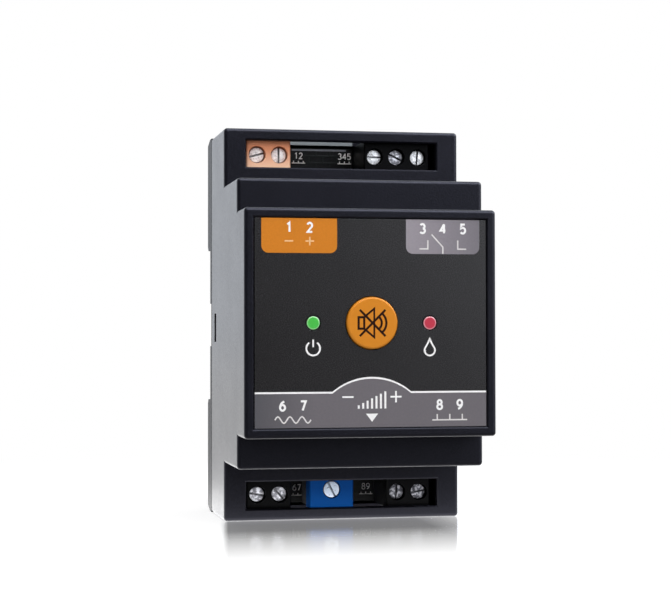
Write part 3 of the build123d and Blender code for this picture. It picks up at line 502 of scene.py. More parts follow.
@dataclass(frozen=True)
class SolderMask(Finish):
    """Solder mask over copper traces on glass epoxy, whose cut edges stay bare."""

    edge_colour: str = "#6d6f66"
    trace_colour: str = "#0c0f0e"
    trace_mm: float = 1.1
    trace_height_mm: float = 0.03

    def detail(self, canvas: Canvas) -> None:
        """Adds raised traces on the faces and the bare laminate on the edges.

        Args:
            canvas: The material under way.
        """
        add, shader, place = canvas
        traces = add(
            "TexBrick",
            {
                "Scale": 1 / (6 * self.trace_mm * MM), "Mortar Size": 0.03,
                "Color1": BLACK, "Color2": BLACK, "Mortar": WHITE,
            },
            {"Vector": add("Mapping", {"Rotation": (pi / 2, 0, 0)}, {"Vector": place})},
        )
        lit = add(
            "MixRGB",
            {"Color1": linear(self.colour), "Color2": linear(self.trace_colour)},
            {"Fac": traces},
        )
        normal = add("NewGeometry").outputs["True Normal"]
        parts = add("SeparateXYZ", links={"Vector": normal})
        face = add("Math", {"operation": "ABSOLUTE"}, {0: parts.outputs["Y"]})
        edge = add("Math", {"operation": "LESS_THAN", 1: 0.5}, {0: face})
        colour = add("MixRGB", {"Color2": linear(self.edge_colour)}, {"Fac": edge, "Color1": lit})
        bump = add(
            "Bump", {"Strength": 0.5, "Distance": self.trace_height_mm * MM}, {"Height": traces}
        )
        feed(shader, {"Base Color": colour, "Normal": bump})


# Spark-eroded blend: near black face on and pale at a glancing angle, with a sandy grain. The
# wire slot's rear edge has painted light: a pale strip where light from above falls on its cut face
CASE_BLACK = MouldedPlastic(
    "Black polycarbonate blend, spark-eroded", "#09090d", 0.36, grain_mm=0.40,
    grain_depth_mm=0.030, second_colour="#1d1d25", level=0.20, sheen="#eaeaff", edge_mm=0.08,
    # Painted light: a pale strip on the wire slot's lit rear cut face
    painted_light_zone=(
        ("Y", -10.6, -10.4), ("Y", -9.9, -10.05), ("X", -21.9, -21.7), ("X", 5.4, 5.2),
        ("Z", 41.8, 42.0),
    ),
    painted_light_colour="#8f979c",
)
# Glass-filled base: flatter and duller than the cover, with a closer grain
BASE_BLACK = MouldedPlastic(
    "Black polyamide base, spark-eroded", "#121215", 0.46, grain_mm=0.28,
    grain_depth_mm=0.020, second_colour="#26262b", level=0.06, edge_mm=0.03,
)
# Dark grey film laid on the plate: finer and smoother than the case around it
PLATE_GREY = MouldedPlastic(
    "Dark grey printed plate, satin", "#141213", 0.27, grain_mm=0.20,
    grain_depth_mm=0.0015, second_colour="#181617", edge_mm=0.06, level=0.60,
)
# Screen inks lie flat and nearly matt, so the fields keep their colour from every side
LABEL_ORANGE = ScreenInk("Orange screen ink", "#cb7a1d", 0.45, level=0.3)
LABEL_GREY = GradedInk(
    "Grey screen ink", "#7c787f", 0.45, level=0.3,
    upper=((7.4, "#958f97"), (23.4, "#726e75")), lower=((-25.0, "#4e4d52"), (-12.0, "#676368")),
)
# Signs and numerals: opaque white, a thinner coat that looks greyer, and tinted white
MARK_WHITE = ScreenInk("White screen ink", "#f4f3f4", 0.5)
SOFT_WHITE = ScreenInk("White screen ink, thin coat", "#d9d6d6", 0.5)
PALE_ORANGE = ScreenInk("Pale orange screen ink", "#ecc08c", 0.5)
# Pad print on the cap: dark and without gloss
SYMBOL_BROWN = ScreenInk("Dark brown pad-printing ink", "#1a0702", 0.5, level=0.1)
# Acetal: an even colour under a waxy sheen
BUTTON_ORANGE = MouldedPlastic(
    "Orange acetal cap, satin", "#d0801c", 0.42, grain_mm=0.25, grain_depth_mm=0.003,
    second_colour="#d68b27", level=0.3,
)
# Terminals from a polished tool: smooth walls, so the wells stay dark or clear in colour. The
# orange-brown one is unfilled, and has painted light: paler low down, where its top lies in the
# window edge's shade
TERMINAL_BLACK = MouldedPlastic(
    "Black polyamide terminal, polished tool", "#040405", 0.34, grain_mm=0.35,
    grain_depth_mm=0.004, second_colour="#09090b", edge_mm=0.08, level=0.06,
)
TERMINAL_COPPER = MouldedPlastic(
    "Orange-brown polyamide terminal, polished tool", "#e89268", 0.40, grain_mm=0.35,
    grain_depth_mm=0.004, second_colour="#f4a87e", edge_mm=0.10,
    # Painted light: paler below, darker at the top in the window edge's shade
    painted_light_zone=(("Z", 39.6, 35.4),), painted_light_colour="#ffd0b0",
)
# Thermoset: a dense, saturated blue, with painted light: its foot is painted a brighter blue,
# where more light falls
TRIMMER_BLUE = MouldedPlastic(
    "Blue thermoset trimmer case", "#0f62c2", 0.38, grain_mm=0.30, grain_depth_mm=0.004,
    second_colour="#116ad0", edge_mm=0.10, level=0.1,
    # Painted light: a brighter blue on the foot
    painted_light_zone=(("Z", -37.0, -41.5),), painted_light_colour="#1a7ae6",
)
# Moulded epoxy: dull, with a fine grain
PART_BLACK = MouldedPlastic(
    "Black moulded component case", "#17171a", 0.5, grain_mm=0.25, grain_depth_mm=0.006,
    second_colour="#212125", edge_mm=0.08,
)
# Sealed case: smooth, with small clear lights along its edges
RELAY_BLUE = MouldedPlastic(
    "Blue sealed relay case", "#1c4f86", 0.38, grain_mm=0.4, grain_depth_mm=0.003,
    second_colour="#245b94",
)
# Shrink film: glossy and slightly wavy over the can
CAN_SLEEVE = MouldedPlastic(
    "Dark shrink sleeve over an aluminium can", "#1b1f2a", 0.3, grain_mm=0.6,
    grain_depth_mm=0.003, second_colour="#2a3040",
)
# Turned heads: bright rings and a dark slot. The screws are alike, and their finishes are
# painted light and shade: one painted white for screws in full light, one with grey patches
# painted for half shade, and one painted grey all over for deep shade. The rings are coarser
# than real ones, so that they show
SCREW_NICKEL = TurnedMetal(
    "Nickel-plated steel screw, turned", "#fdfdfd", 0.30, metallic=0.9, patch_shade="#ececee"
)
SCREW_PAINTED_LIGHT = TurnedMetal(
    "Nickel-plated steel screw, painted light", "#ffffff", 0.30, metallic=0.3, patch_shade="#f6f2f2"
)
SCREW_PAINTED_HALF_SHADE = TurnedMetal(
    "Nickel-plated steel screw, painted half shade", "#e4e4ea", 0.36, metallic=0.85, patch_shade="#85858c"
)
SCREW_PAINTED_SHADE = TurnedMetal(
    "Nickel-plated steel screw, painted shade", "#a2a2a8", 0.38, metallic=0.8, patch_shade="#46464c"
)
# The rotor's colour carries a painted reflection: a bluish tint for the blue case around it
ROTOR_NICKEL = TurnedMetal(
    "Nickel-plated brass rotor", "#cfdaea", 0.34, metallic=0.6, relief_mm=0.004
)
# Zinc looks cool and cloudy, tin warm and soft, and a gold flash yellow and sharp
CLAMP_ZINC = PlatedMetal("Zinc-plated steel clamp", "#b9bab8", 0.38, metallic=1.0)
CONTACT_TIN = PlatedMetal("Tinned brass contact", "#cfc9bb", 0.33, metallic=1.0)
# Painted glint: a dull tin strip on the board stands in for the glint on the board's top edge
EDGE_GLINT_TIN = PlatedMetal("Dull tin strip, painted edge glint", "#77777c", 0.45, metallic=0.9)
PIN_GOLD = PlatedMetal("Gold-flashed pin", "#d9b46a", 0.28, metallic=1.0)
# Solder mask: black, with raised tracks that catch light and straw-grey cut edges
MASK_BLACK = SolderMask("Black solder mask on glass epoxy", "#070708", 0.42, level=0.15)


# ---------------------------------------------------------------- surfaces
@dataclass
class Surface:
    """A grid of points, with the edges along which it closes on itself."""

    points: np.ndarray
    wrap_rows: bool = False
    wrap_columns: bool = False

    def quads(self, first: int) -> np.ndarray:
        """Lists the grid's faces.

        Args:
            first: Number of the grid's first vertex in the whole mesh.

        Returns:
            One row of four vertex numbers for each face.
        """
        rows, columns = self.points.shape[:2]
        numbers = np.arange(rows * columns).reshape(rows, columns) + first
        if self.wrap_rows:
            numbers = np.vstack([numbers, numbers[:1]])
        if self.wrap_columns:
            numbers = np.hstack([numbers, numbers[:, :1]])
        corners = (numbers[:-1, :-1], numbers[1:, :-1], numbers[1:, 1:], numbers[:-1, 1:])
        return np.stack([c.ravel() for c in corners], axis=1)


def build_piece(
    name: str,
    surfaces: list[Surface],
    finish: Finish,
    body: str = "root",
    smooth_degrees: float = 35.0,
    uv: bool = False,
) -> bpy.types.Object:
    """Puts surfaces into one closed mesh, dresses it and lets it ride on a CAD body.

    Args:
        name: Name of the piece.
        surfaces: The grids that make it, each one closed by itself.
        finish: What it is made of.
        body: CAD body that carries it.
        smooth_degrees: Angle up to which neighbouring faces are shaded as one surface.
        uv: Whether it gets a UV map: each vertex's X and Z, in millimetres from its middle.

    Returns:
        The piece's object, at the origin.
    """
    points = np.vstack([s.points.reshape(-1, 3) for s in surfaces])
    counts = np.cumsum([0] + [s.points.shape[0] * s.points.shape[1] for s in surfaces])
    faces = np.vstack([s.quads(int(c)) for s, c in zip(surfaces, counts)])
    mesh = bpy.data.meshes.new(name)
    mesh.from_pydata(points.tolist(), [], faces.tolist())
    work = bmesh.new()
    work.from_mesh(mesh)
    bmesh.ops.remove_doubles(work, verts=work.verts, dist=WELD)
    bmesh.ops.dissolve_degenerate(work, edges=work.edges, dist=SLIVER)
    bmesh.ops.recalc_face_normals(work, faces=work.faces)
    work.to_mesh(mesh)
    work.free()
    if uv:
        middle = (points.min(0) + points.max(0)) / 2
        places = np.zeros(len(mesh.vertices) * 3)
        mesh.vertices.foreach_get("co", places)
        loops = np.zeros(len(mesh.loops), int)
        mesh.loops.foreach_get("vertex_index", loops)
        local = (places.reshape(-1, 3) - middle)[loops][:, [0, 2]] / MM
        mesh.uv_layers.new(name="UVMap").data.foreach_set("uv", local.ravel())
    mesh.shade_smooth()
    mesh.set_sharp_from_angle(angle=radians(smooth_degrees))
    mesh.materials.append(finish.material())
    piece = new_object(name, mesh)
    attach(piece, body)
    return piece


def dress(finish: Finish, *nodes: str) -> None:
    """Gives CAD nodes their finish.

    Args:
        finish: What they are made of.
        nodes: Their names.
    """
    for node in nodes:
        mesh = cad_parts[node].data
        mesh.materials.clear()
        mesh.materials.append(finish.material())


# ---------------------------------------------------------------- print: strokes of ink
def arc(
    x: float, y: float, rx: float, ry: float, start: float, end: float, steps: int = 14
) -> np.ndarray:
    """Points of an elliptic arc: centre plus (rx cos a, ry sin a), with a from start to end.

    Args:
        x: Centre across.
        y: Centre up.
        rx: Half width.
        ry: Half height.
        start: First angle in degrees.
        end: Last angle in degrees.
        steps: Number of runs.

    Returns:
        An array of points, one row each.
    """
    a = np.radians(np.linspace(start, end, steps + 1))
    return np.stack([x + rx * np.cos(a), y + ry * np.sin(a)], axis=1)


def bend(start: tuple, pull: tuple, end: tuple, steps: int = 8) -> np.ndarray:
    """Points of a quadratic curve: (1-t)^2 start + 2t(1-t) pull + t^2 end.

    Args:
        start: First point.
        pull: Point that the curve bends towards.
        end: Last point.
        steps: Number of runs.

    Returns:
        An array of points, one row each.
    """
    t = np.linspace(0, 1, steps + 1)[:, None]
    a, b, c = (np.array(p, float) for p in (start, pull, end))
    return (1 - t) ** 2 * a + 2 * t * (1 - t) * b + t**2 * c


SIX = [arc(0.29, 0.31, 0.27, 0.31, 0, 360, 20), bend((0.48, 0.98), (0.06, 0.85), (0.02, 0.33))]
# Numerals as pen strokes in a box one high and about 0.56 wide
NUMERALS = {
    "1": [np.array([(0.12, 0.80), (0.34, 1.0), (0.34, 0.0)])],
    "2": [np.vstack([arc(0.28, 0.72, 0.25, 0.28, 165, -35), [(0.03, 0.0), (0.56, 0.0)]])],
    "3": [arc(0.26, 0.75, 0.24, 0.25, 150, -80), arc(0.26, 0.26, 0.28, 0.26, 80, -150)],
    "4": [np.array([(0.42, 0.0), (0.42, 1.0)]), np.array([(0.42, 1.0), (0.02, 0.3), (0.58, 0.3)])],
    "5": [
        np.vstack([[(0.5, 1.0), (0.1, 1.0), (0.06, 0.56)], arc(0.26, 0.32, 0.28, 0.32, 125, -145)])
    ],
    "6": SIX,
    "7": [np.array([(0.0, 1.0), (0.54, 1.0), (0.2, 0.0)])],
    "8": [arc(0.28, 0.76, 0.22, 0.24, 0, 360, 18), arc(0.28, 0.27, 0.27, 0.27, 0, 360, 20)],
    "9": [np.array([0.56, 1.0]) - stroke for stroke in SIX],
}
NUMERAL_MIDDLE = np.array([0.28, 0.5])
NUMERAL_PITCH = 0.82


@dataclass
class Print:
    """Flat print on a face that looks towards -Y: strokes of ink with a real thickness.

    Each stroke is a little thicker than the one before, so that crossing strokes lie one
    over the other and not in one plane.
    """

    front_mm: float
    coat_mm: float = 0.02
    step_mm: float = 0.003
    steps: int = 6
    surfaces: list[Surface] = field(default_factory=list)

    @classmethod
    def on(cls, node: str) -> "Print":
        """Starts a print on the foremost face of a CAD node."""
        return cls(-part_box(node)[0].y / MM)

    def stroke(self, line: np.ndarray, width: float) -> None:
        """Lays one stroke: a flat bar carried along a line, its corners mitred.

        At each point the bar's two edges stand half a width to either side, along the mean
        normal of the two runs that meet there, lengthened by one over the cosine of half
        their turn so that the bar keeps its width. A line that ends where it starts closes.

        Args:
            line: The line's points in millimetres, X and Z.
            width: Width of the bar in millimetres.
        """
        closed = bool(np.allclose(line[0], line[-1]))
        points = line[:-1] if closed else line
        runs = np.diff(line, axis=0)
        runs /= np.linalg.norm(runs, axis=1)[:, None]
        before = np.vstack([runs[-1:] if closed else runs[:1], runs[: len(points) - 1]])
        after = runs if closed else np.vstack([runs, runs[-1:]])
        mean = before + after
        mean /= np.maximum(np.linalg.norm(mean, axis=1), 1e-6)[:, None]
        reach = width / 2 / np.maximum(np.sum(mean * after, axis=1), 0.5)[:, None]
        side = np.stack([-mean[:, 1], mean[:, 0]], axis=1) * reach
        self.bar(points + side, points - side, closed)

    def bar(self, left: np.ndarray, right: np.ndarray, closed: bool) -> None:
        """Adds a bar of the coat's thickness: four corners carried along its two edges.

        Args:
            left: Points of one edge in millimetres, X and Z.
            right: Points of the other edge, as many.
            closed: Whether the bar's end meets its start.
        """
        layer = self.coat_mm + self.step_mm * (len(self.surfaces) % self.steps)
        front, back = -self.front_mm - layer, -self.front_mm
        ring = [
            np.stack([edge[:, 0], np.full(len(edge), y), edge[:, 1]], axis=1)
            for edge, y in ((left, front), (right, front), (right, back), (left, back))
        ]
        grid = np.stack(ring, axis=1) * MM
        if not closed:
            ends = [np.repeat(g.mean(0)[None, None], 4, axis=1) for g in (grid[0], grid[-1])]
            grid = np.concatenate([ends[0], grid, ends[1]], axis=0)
        self.surfaces.append(Surface(grid, wrap_rows=closed, wrap_columns=True))

    def line(self, *points: tuple[float, float], width: float) -> None:
        """Lays one stroke through points given in millimetres."""
        self.stroke(np.array(points), width)

    def shape(
        self, strokes: list[np.ndarray], x: float, z: float, size: float, width: float
    ) -> None:
        """Lays strokes drawn about (0, 0): each point times size, plus (x, z).

        Args:
            strokes: The lines.
            x: Their middle across, in millimetres.
            z: Their middle up.
            size: Millimetres to one unit of the drawing.
            width: Width of the strokes.
        """
        for line in strokes:
            self.stroke(np.asarray(line, float) * size + np.array([x, z]), width)

    def number(self, text: str, x: float, z: float, height: float, width: float) -> None:
        """Lays numerals in a row, their middles NUMERAL_PITCH of a height apart.

        Args:
            text: The numerals.
            x: The row's middle across, in millimetres.
            z: Its middle up.
            height: Height of the numerals.
            width: Width of their strokes.
        """
        pitch = NUMERAL_PITCH * height
        for i, sign in enumerate(text):
            strokes = [stroke - NUMERAL_MIDDLE for stroke in NUMERALS[sign]]
            self.shape(strokes, x + (i - (len(text) - 1) / 2) * pitch, z, height, width)

    def piece(self, name: str, finish: Finish, body: str = "root") -> bpy.types.Object:
        """Makes the print's mesh."""
        return build_piece(name, self.surfaces, finish, body)


class Symbol(Enum):
    """Generic signs as strokes about (0, 0), in units of their height or length."""

    POWER = "a ring open at the top, with a bar in the gap"
    DROP = "a drop of water"
    WAVE = "a sensing cable's wavy line"
    CONTACT = "a changeover contact"
    BUS = "a line with three nodes"

    def strokes(self) -> list[np.ndarray]:
        """Draws the sign with arcs, bends and straight runs, and the wave as a sine.

        Returns:
            Its lines, each an array of points.
        """
        t = np.linspace(0, 1, 25)
        lines = {
            "POWER": [arc(0, -0.06, 0.44, 0.44, 125, 415, 26), [(0.0, 0.5), (0.0, 0.02)]],
            "DROP": [
                np.vstack([
                    bend((0.0, 0.52), (0.10, 0.25), (0.30, -0.06)),
                    arc(0.0, -0.18, 0.32, 0.32, 22, -202, 22)[1:-1],
                    bend((-0.30, -0.06), (-0.10, 0.25), (0.0, 0.52)),
                ])
            ],
            "WAVE": [np.stack([t - 0.5, 0.09 * np.sin(t * 6 * pi)], axis=1)],
            "CONTACT": [
                [(-0.5, -0.14), (-0.32, -0.14), (-0.32, 0.04)],
                [(0.5, -0.14), (0.32, -0.14), (0.32, 0.04)],
                [(0.0, -0.24), (0.0, -0.10), (-0.24, 0.16)],
            ],
            "BUS": [[(-0.5, 0.0), (0.5, 0.0)], *([(x, 0), (x, 0.16)] for x in (-0.36, 0, 0.36))],
        }
        return [np.asarray(line, float) for line in lines[self.name]]


# ---------------------------------------------------------------- sub-assemblies
@dataclass
class Enclosure:
    """Cover, rear base and rail latch, which keep their CAD shapes."""

    cover: Finish = CASE_BLACK
    rear: Finish = BASE_BLACK

    def build(self) -> None:
        """Dresses the mouldings."""
        dress(self.cover, "housing")
        dress(self.rear, "rear_base", "rail_latch")
        LOG.info("enclosure: housing, rear_base, rail_latch")


@dataclass
class FrontPlate:
    """Front plate with its printed fields, numerals and signs, all sizes in millimetres."""

    label_x: float = 15.4
    upper_row: float = 19.9
    lower_row: float = 17.05
    band_x: float = 16.8
    band_row: float = -17.2
    sign_row: float = -20.1
    bus_drop: float = 0.3
    numeral: float = 1.9
    numeral_pitch: float = 4.4
    bold: float = 0.44
    thin: float = 0.28
    contact_length: float = 10.2
    sign_length: float = 7.6
    supply_half: float = 0.9
    bar_count: int = 7
    bar_foot: float = -17.9
    bar_first: float = 0.7
    bar_rise: float = 0.48
    bar_pitch: float = 0.95
    bar_width: float = 0.42
    caption_x: float = 12.5
    caption_z: float = -5.1
    caption_line: float = 0.36
    power_size: float = 3.3
    drop_size: float = 3.5

    def build(self) -> None:
        """Dresses the plate and its fields and lays the print."""
        dress(PLATE_GREY, "faceplate")
        dress(LABEL_ORANGE, "orange_label")
        dress(LABEL_GREY, "grey_fields")
        dress(MARK_WHITE, "white_marks")
        self.numbers()
        self.signs()
        self.supply()
        self.bars()
        self.captions()
        LOG.info("front plate: numbers, signs, bars and captions")

    def numbers(self) -> None:
        """Lays the terminals' numbers in the labels and the band."""
        ink = Print.on("grey_fields")
        for text, x, z in (
            ("12", -self.label_x, self.upper_row),
            ("345", self.label_x, self.upper_row),
            ("67", -self.band_x, self.band_row),
            ("89", self.band_x, self.band_row),
        ):
            for i, sign in enumerate(text):
                across = (i - (len(text) - 1) / 2) * self.numeral_pitch
                ink.number(sign, x + across, z, self.numeral, self.bold)
        ink.piece("terminal_numbers", MARK_WHITE)

    def signs(self) -> None:
        """Lays the signs of the contact, the sensing cable and the bus by their numbers."""
        ink = Print.on("grey_fields")
        for sign, x, z, length in (
            (Symbol.CONTACT, self.label_x, self.lower_row, self.contact_length),
            (Symbol.WAVE, -self.band_x, self.sign_row, self.sign_length),
            (Symbol.BUS, self.band_x, self.sign_row - self.bus_drop, self.sign_length),
        ):
            ink.shape(sign.strokes(), x, z, length, self.thin)
        ink.piece("terminal_signs", SOFT_WHITE)

    def supply(self) -> None:
        """Lays the minus and the plus under the supply's numbers."""
        ink = Print.on("grey_fields")
        z, half = self.lower_row, self.supply_half
        minus, plus = (-self.label_x + way * self.numeral_pitch / 2 for way in (-1, 1))
        for x in (minus, plus):
            ink.line((x - half, z), (x + half, z), width=self.thin)
        ink.line((plus, z - half), (plus, z + half), width=self.thin)
        ink.piece("supply_signs", PALE_ORANGE)

    def bars(self) -> None:
        """Lays the rising bars between the dome's minus and plus."""
        ink = Print.on("grey_fields")
        for i in range(self.bar_count):
            x = (i - (self.bar_count - 1) / 2) * self.bar_pitch
            top = self.bar_foot + self.bar_first + self.bar_rise * i
            ink.line((x, self.bar_foot), (x, top), width=self.bar_width)
        ink.piece("sensitivity_bars", MARK_WHITE)

    def captions(self) -> None:
        """Lays a sign under each indicator."""
        ink = Print.on("faceplate")
        for sign, x, size in (
            (Symbol.POWER, -self.caption_x, self.power_size),
            (Symbol.DROP, self.caption_x, self.drop_size),
        ):
            ink.shape(sign.strokes(), x, self.caption_z, size, self.caption_line)
        ink.piece("indicator_signs", MARK_WHITE)


@dataclass
class MuteButton:
    """Round cap with its crossed loudspeaker, and the switch behind it, in millimetres."""

    line: float = 0.46
    throat: float = -1.8
    mouth: float = 0.35
    box_back: float = -3.0
    box_half: float = 1.2
    cone_half: float = 3.0
    cross_half: float = 2.75
    waves: tuple[tuple[float, float], ...] = ((1.6, 52), (2.6, 50))

    def build(self) -> None:
        """Dresses the cap and the switch and lays the sign."""
        dress(BUTTON_ORANGE, "mute_button")
        dress(PART_BLACK, "switch_plunger", "tact_switch")
        ink = Print.on("mute_button")
        throat, mouth, back = self.throat, self.mouth, self.box_back
        low, high, cross = self.box_half, self.cone_half, self.cross_half
        ink.line((throat, low), (mouth, high), (mouth, -high), (throat, -low), width=self.line)
        ink.line(
            (throat, low), (back, low), (back, -low), (throat, -low), (throat, low), width=self.line
        )
        for radius, spread in self.waves:
            ink.stroke(arc(mouth, 0, radius, radius, -spread, spread, 12), self.line)
        for way in (-1, 1):
            ink.line((-cross, cross * way), (cross, -cross * way), width=self.line)
        ink.piece("mute_sign", SYMBOL_BROWN, "button")
        LOG.info("mute button: mute_sign")


@dataclass
class Indicators:
    """The two indicators, each a cast resin with a paler rim painted as a highlight."""

    roughness: float = 0.3

    def build(self) -> None:
        """Dresses both, with the rim centred on each axis."""
        # Resin colour, then the painted highlight colour of its rim
        for node, name, colour, rim_highlight in (
            ("power_led", "Green tinted resin", "#3fa840", "#86c684"),
            ("leak_led", "Red tinted resin", "#a82c40", "#d08a94"),
        ):
            low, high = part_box(node)
            centre = ((low.x + high.x) / 2 / MM, (low.z + high.z) / 2 / MM)
            resin = TintedResin(name, colour, self.roughness, rim_highlight_colour=rim_highlight, centre_mm=centre)
            dress(resin, node)
        LOG.info("indicators: power_led, leak_led")


@dataclass
class SlottedHead:
    """Turned head with a screwdriver slot, on a threaded or plain shank, in millimetres."""

    radius: float
    shank_radius: float
    slot_width: float
    angle: float
    height: float = 1.2
    slot_depth: float = 0.6
    pitch: float = 0.0
    crown: float = 0.10
    edge: float = 0.16
    lip: float = 0.04
    thread_depth: float = 0.22
    run_out: float = 0.4
    tip: float = 0.2
    tip_share: float = 0.72
    sunk: float = 0.1
    smooth_degrees: float = 40.0

    def head(self) -> Surface:
        """Makes the head as chords across a disc.

        Column x of the grid is the chord at that x, from y = -c to y = c with c the square
        root of R squared less x squared. Its height is H + crown (1 - r^2 / R^2), less a
        quarter round of the edge radius at the rim, less the slot's depth where x lies
        within half the slot's width. The chord's ends go down to the flat underside.

        Returns:
            The closed surface, its axis along +Z and its underside at zero.
        """
        half, lip = self.slot_width / 2, self.lip
        first = np.arcsin((half + lip) / self.radius)
        outer = self.radius * np.sin(np.linspace(first, pi / 2, 16))
        right = np.concatenate([[0.0, half * 0.5, half - lip, half], outer])
        x = np.concatenate([-right[:0:-1], right])[:, None]
        chord = np.sqrt(np.maximum(self.radius**2 - x**2, 0))
        y = chord * np.sin(np.linspace(-pi / 2, pi / 2, 29))[None, :]
        r = np.sqrt(x**2 + y**2)
        over = np.clip(r - (self.radius - self.edge), 0, self.edge)
        z = self.height - self.crown + self.crown * (1 - (r / self.radius) ** 2)
        z = z - (self.edge - np.sqrt(self.edge**2 - over**2))
        inside = np.clip((half - np.abs(x)) / lip, 0, 1)
        z = z * (1 - inside) + (self.height - self.crown - self.slot_depth) * inside
        bottom = np.concatenate([chord, 0 * chord, -chord], axis=1)
        ys = np.concatenate([y, bottom], axis=1)
        zs = np.concatenate([z, 0 * bottom], axis=1)
        return Surface(np.stack([x + 0 * ys, ys, zs], axis=2), wrap_columns=True)

    def shank(self, length: float) -> Surface:
        """Makes the shank: radius R less the thread's depth times a triangle wave.

        The wave's argument is height over pitch less angle over a full turn, so the crest
        climbs one pitch in each turn. The thread starts gently under the head, the shank's
        tip narrows, and rows of radius zero close both ends.

        Args:
            length: Length below the head's underside.

        Returns:
            The closed surface, going down from zero, or from a little inside the head.
        """
        rows = int(length / self.pitch * 6) + 1 if self.pitch else 6
        angle = np.linspace(0, 2 * pi, 25)[None, :-1]
        down = np.linspace(0, length, rows)[:, None]
        radius = self.shank_radius + 0 * angle + 0 * down
        if self.pitch:
            wave = np.abs(((down / self.pitch - angle / (2 * pi)) % 1) * 2 - 1)
            depth = self.thread_depth * np.clip(down / self.run_out, 0, 1)
            radius = radius - depth * np.clip(wave * 1.2 - 0.1, 0, 1)
        radius = np.vstack([0 * angle, radius, radius[-1:] * self.tip_share, 0 * angle])
        down = down - np.linspace(self.sunk, 0, rows)[:, None]
        down = np.vstack([[[-self.sunk]], down, [[length]], [[length]]])
        down[-3] = length - self.tip
        ring = (radius * np.cos(angle), radius * np.sin(angle), -down + 0 * radius)
        return Surface(np.stack(ring, axis=2), wrap_columns=True)

    def replace(self, node: str, name: str, body: str, finish: Finish) -> bpy.types.Object:
        """Builds the screw where a CAD node is, and lets it stand for that node.

        Args:
            node: CAD node whose axis, front and back the piece takes.
            name: Name of the piece.
            body: CAD body that carries it.
            finish: What it is made of.

        Returns:
            The piece's object.
        """
        low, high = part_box(node)
        front, back = -low.y / MM, -high.y / MM
        x, z = (low.x + high.x) / 2 / MM, (low.z + high.z) / 2 / MM
        seat = front - self.height
        turn = radians(self.angle)
        surfaces = []
        for part in (self.head(), self.shank(seat - back)):
            along, across, up = (part.points[..., i] for i in (1, 0, 2))
            px = x + along * cos(turn) - across * sin(turn)
            pz = z + along * sin(turn) + across * cos(turn)
            part.points = np.stack([px, -(seat + up), pz], axis=2) * MM
            surfaces.append(part)
        piece = build_piece(name, surfaces, finish, body, self.smooth_degrees, uv=True)
        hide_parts(node)
        return piece


@dataclass
class Terminals:
    """The four screw terminals: mouldings, contacts, clamps and slotted screws.

    Each row of the table is a terminal with its screws, each of them the angle of its slot
    and its finish, by the painted light or shade it takes: lit above, shaded below.
    and its finish, by how much it was handled.
    """

    radius: float = 1.75
    shank_radius: float = 1.25
    slot_width: float = 0.46
    pitch: float = 0.5
    screws: tuple[tuple[str, tuple[tuple[float, Finish], ...]], ...] = (
        ("power", ((15, SCREW_PAINTED_LIGHT), (90, SCREW_PAINTED_LIGHT))),
        ("relay", ((0, SCREW_NICKEL), (-25, SCREW_PAINTED_HALF_SHADE), (85, SCREW_NICKEL))),
        ("cable", ((-10, SCREW_PAINTED_HALF_SHADE), (-50, SCREW_PAINTED_HALF_SHADE))),
        ("bus", ((85, SCREW_PAINTED_SHADE), (10, SCREW_PAINTED_SHADE))),
    )

    def build(self) -> None:
        """Dresses the mouldings and metal and builds every screw."""
        for row, screws in self.screws:
            dress(TERMINAL_COPPER if row == "power" else TERMINAL_BLACK, f"{row}_terminal")
            dress(CONTACT_TIN, f"{row}_contacts")
            for number, (angle, finish) in enumerate(screws, start=1):
                dress(CLAMP_ZINC, f"{row}_clamp_{number}")
                node = f"{row}_screw_{number}"
                head = SlottedHead(
                    self.radius, self.shank_radius, self.slot_width, angle, pitch=self.pitch
                )
                head.replace(node, f"{node}_detail", node, finish)
            LOG.info("terminal %s: %d screws", row, len(screws))


@dataclass
class Trimmer:
    """Blue single-turn trimmer with a slotted rotor, in millimetres and degrees."""

    radius: float = 1.9
    shank_radius: float = 1.4
    slot_width: float = 0.5
    crown: float = 0.06
    angle: float = -62.0

    def build(self) -> None:
        """Dresses the case and builds the rotor."""
        dress(TRIMMER_BLUE, "trimmer_body")
        dress(PART_BLACK, "trimmer_spacer")
        rotor = SlottedHead(
            self.radius, self.shank_radius, self.slot_width, self.angle, crown=self.crown
        )
        rotor.replace("trimmer_rotor", "trimmer_rotor_detail", "rotor", ROTOR_NICKEL)
        LOG.info("trimmer: trimmer_rotor_detail")


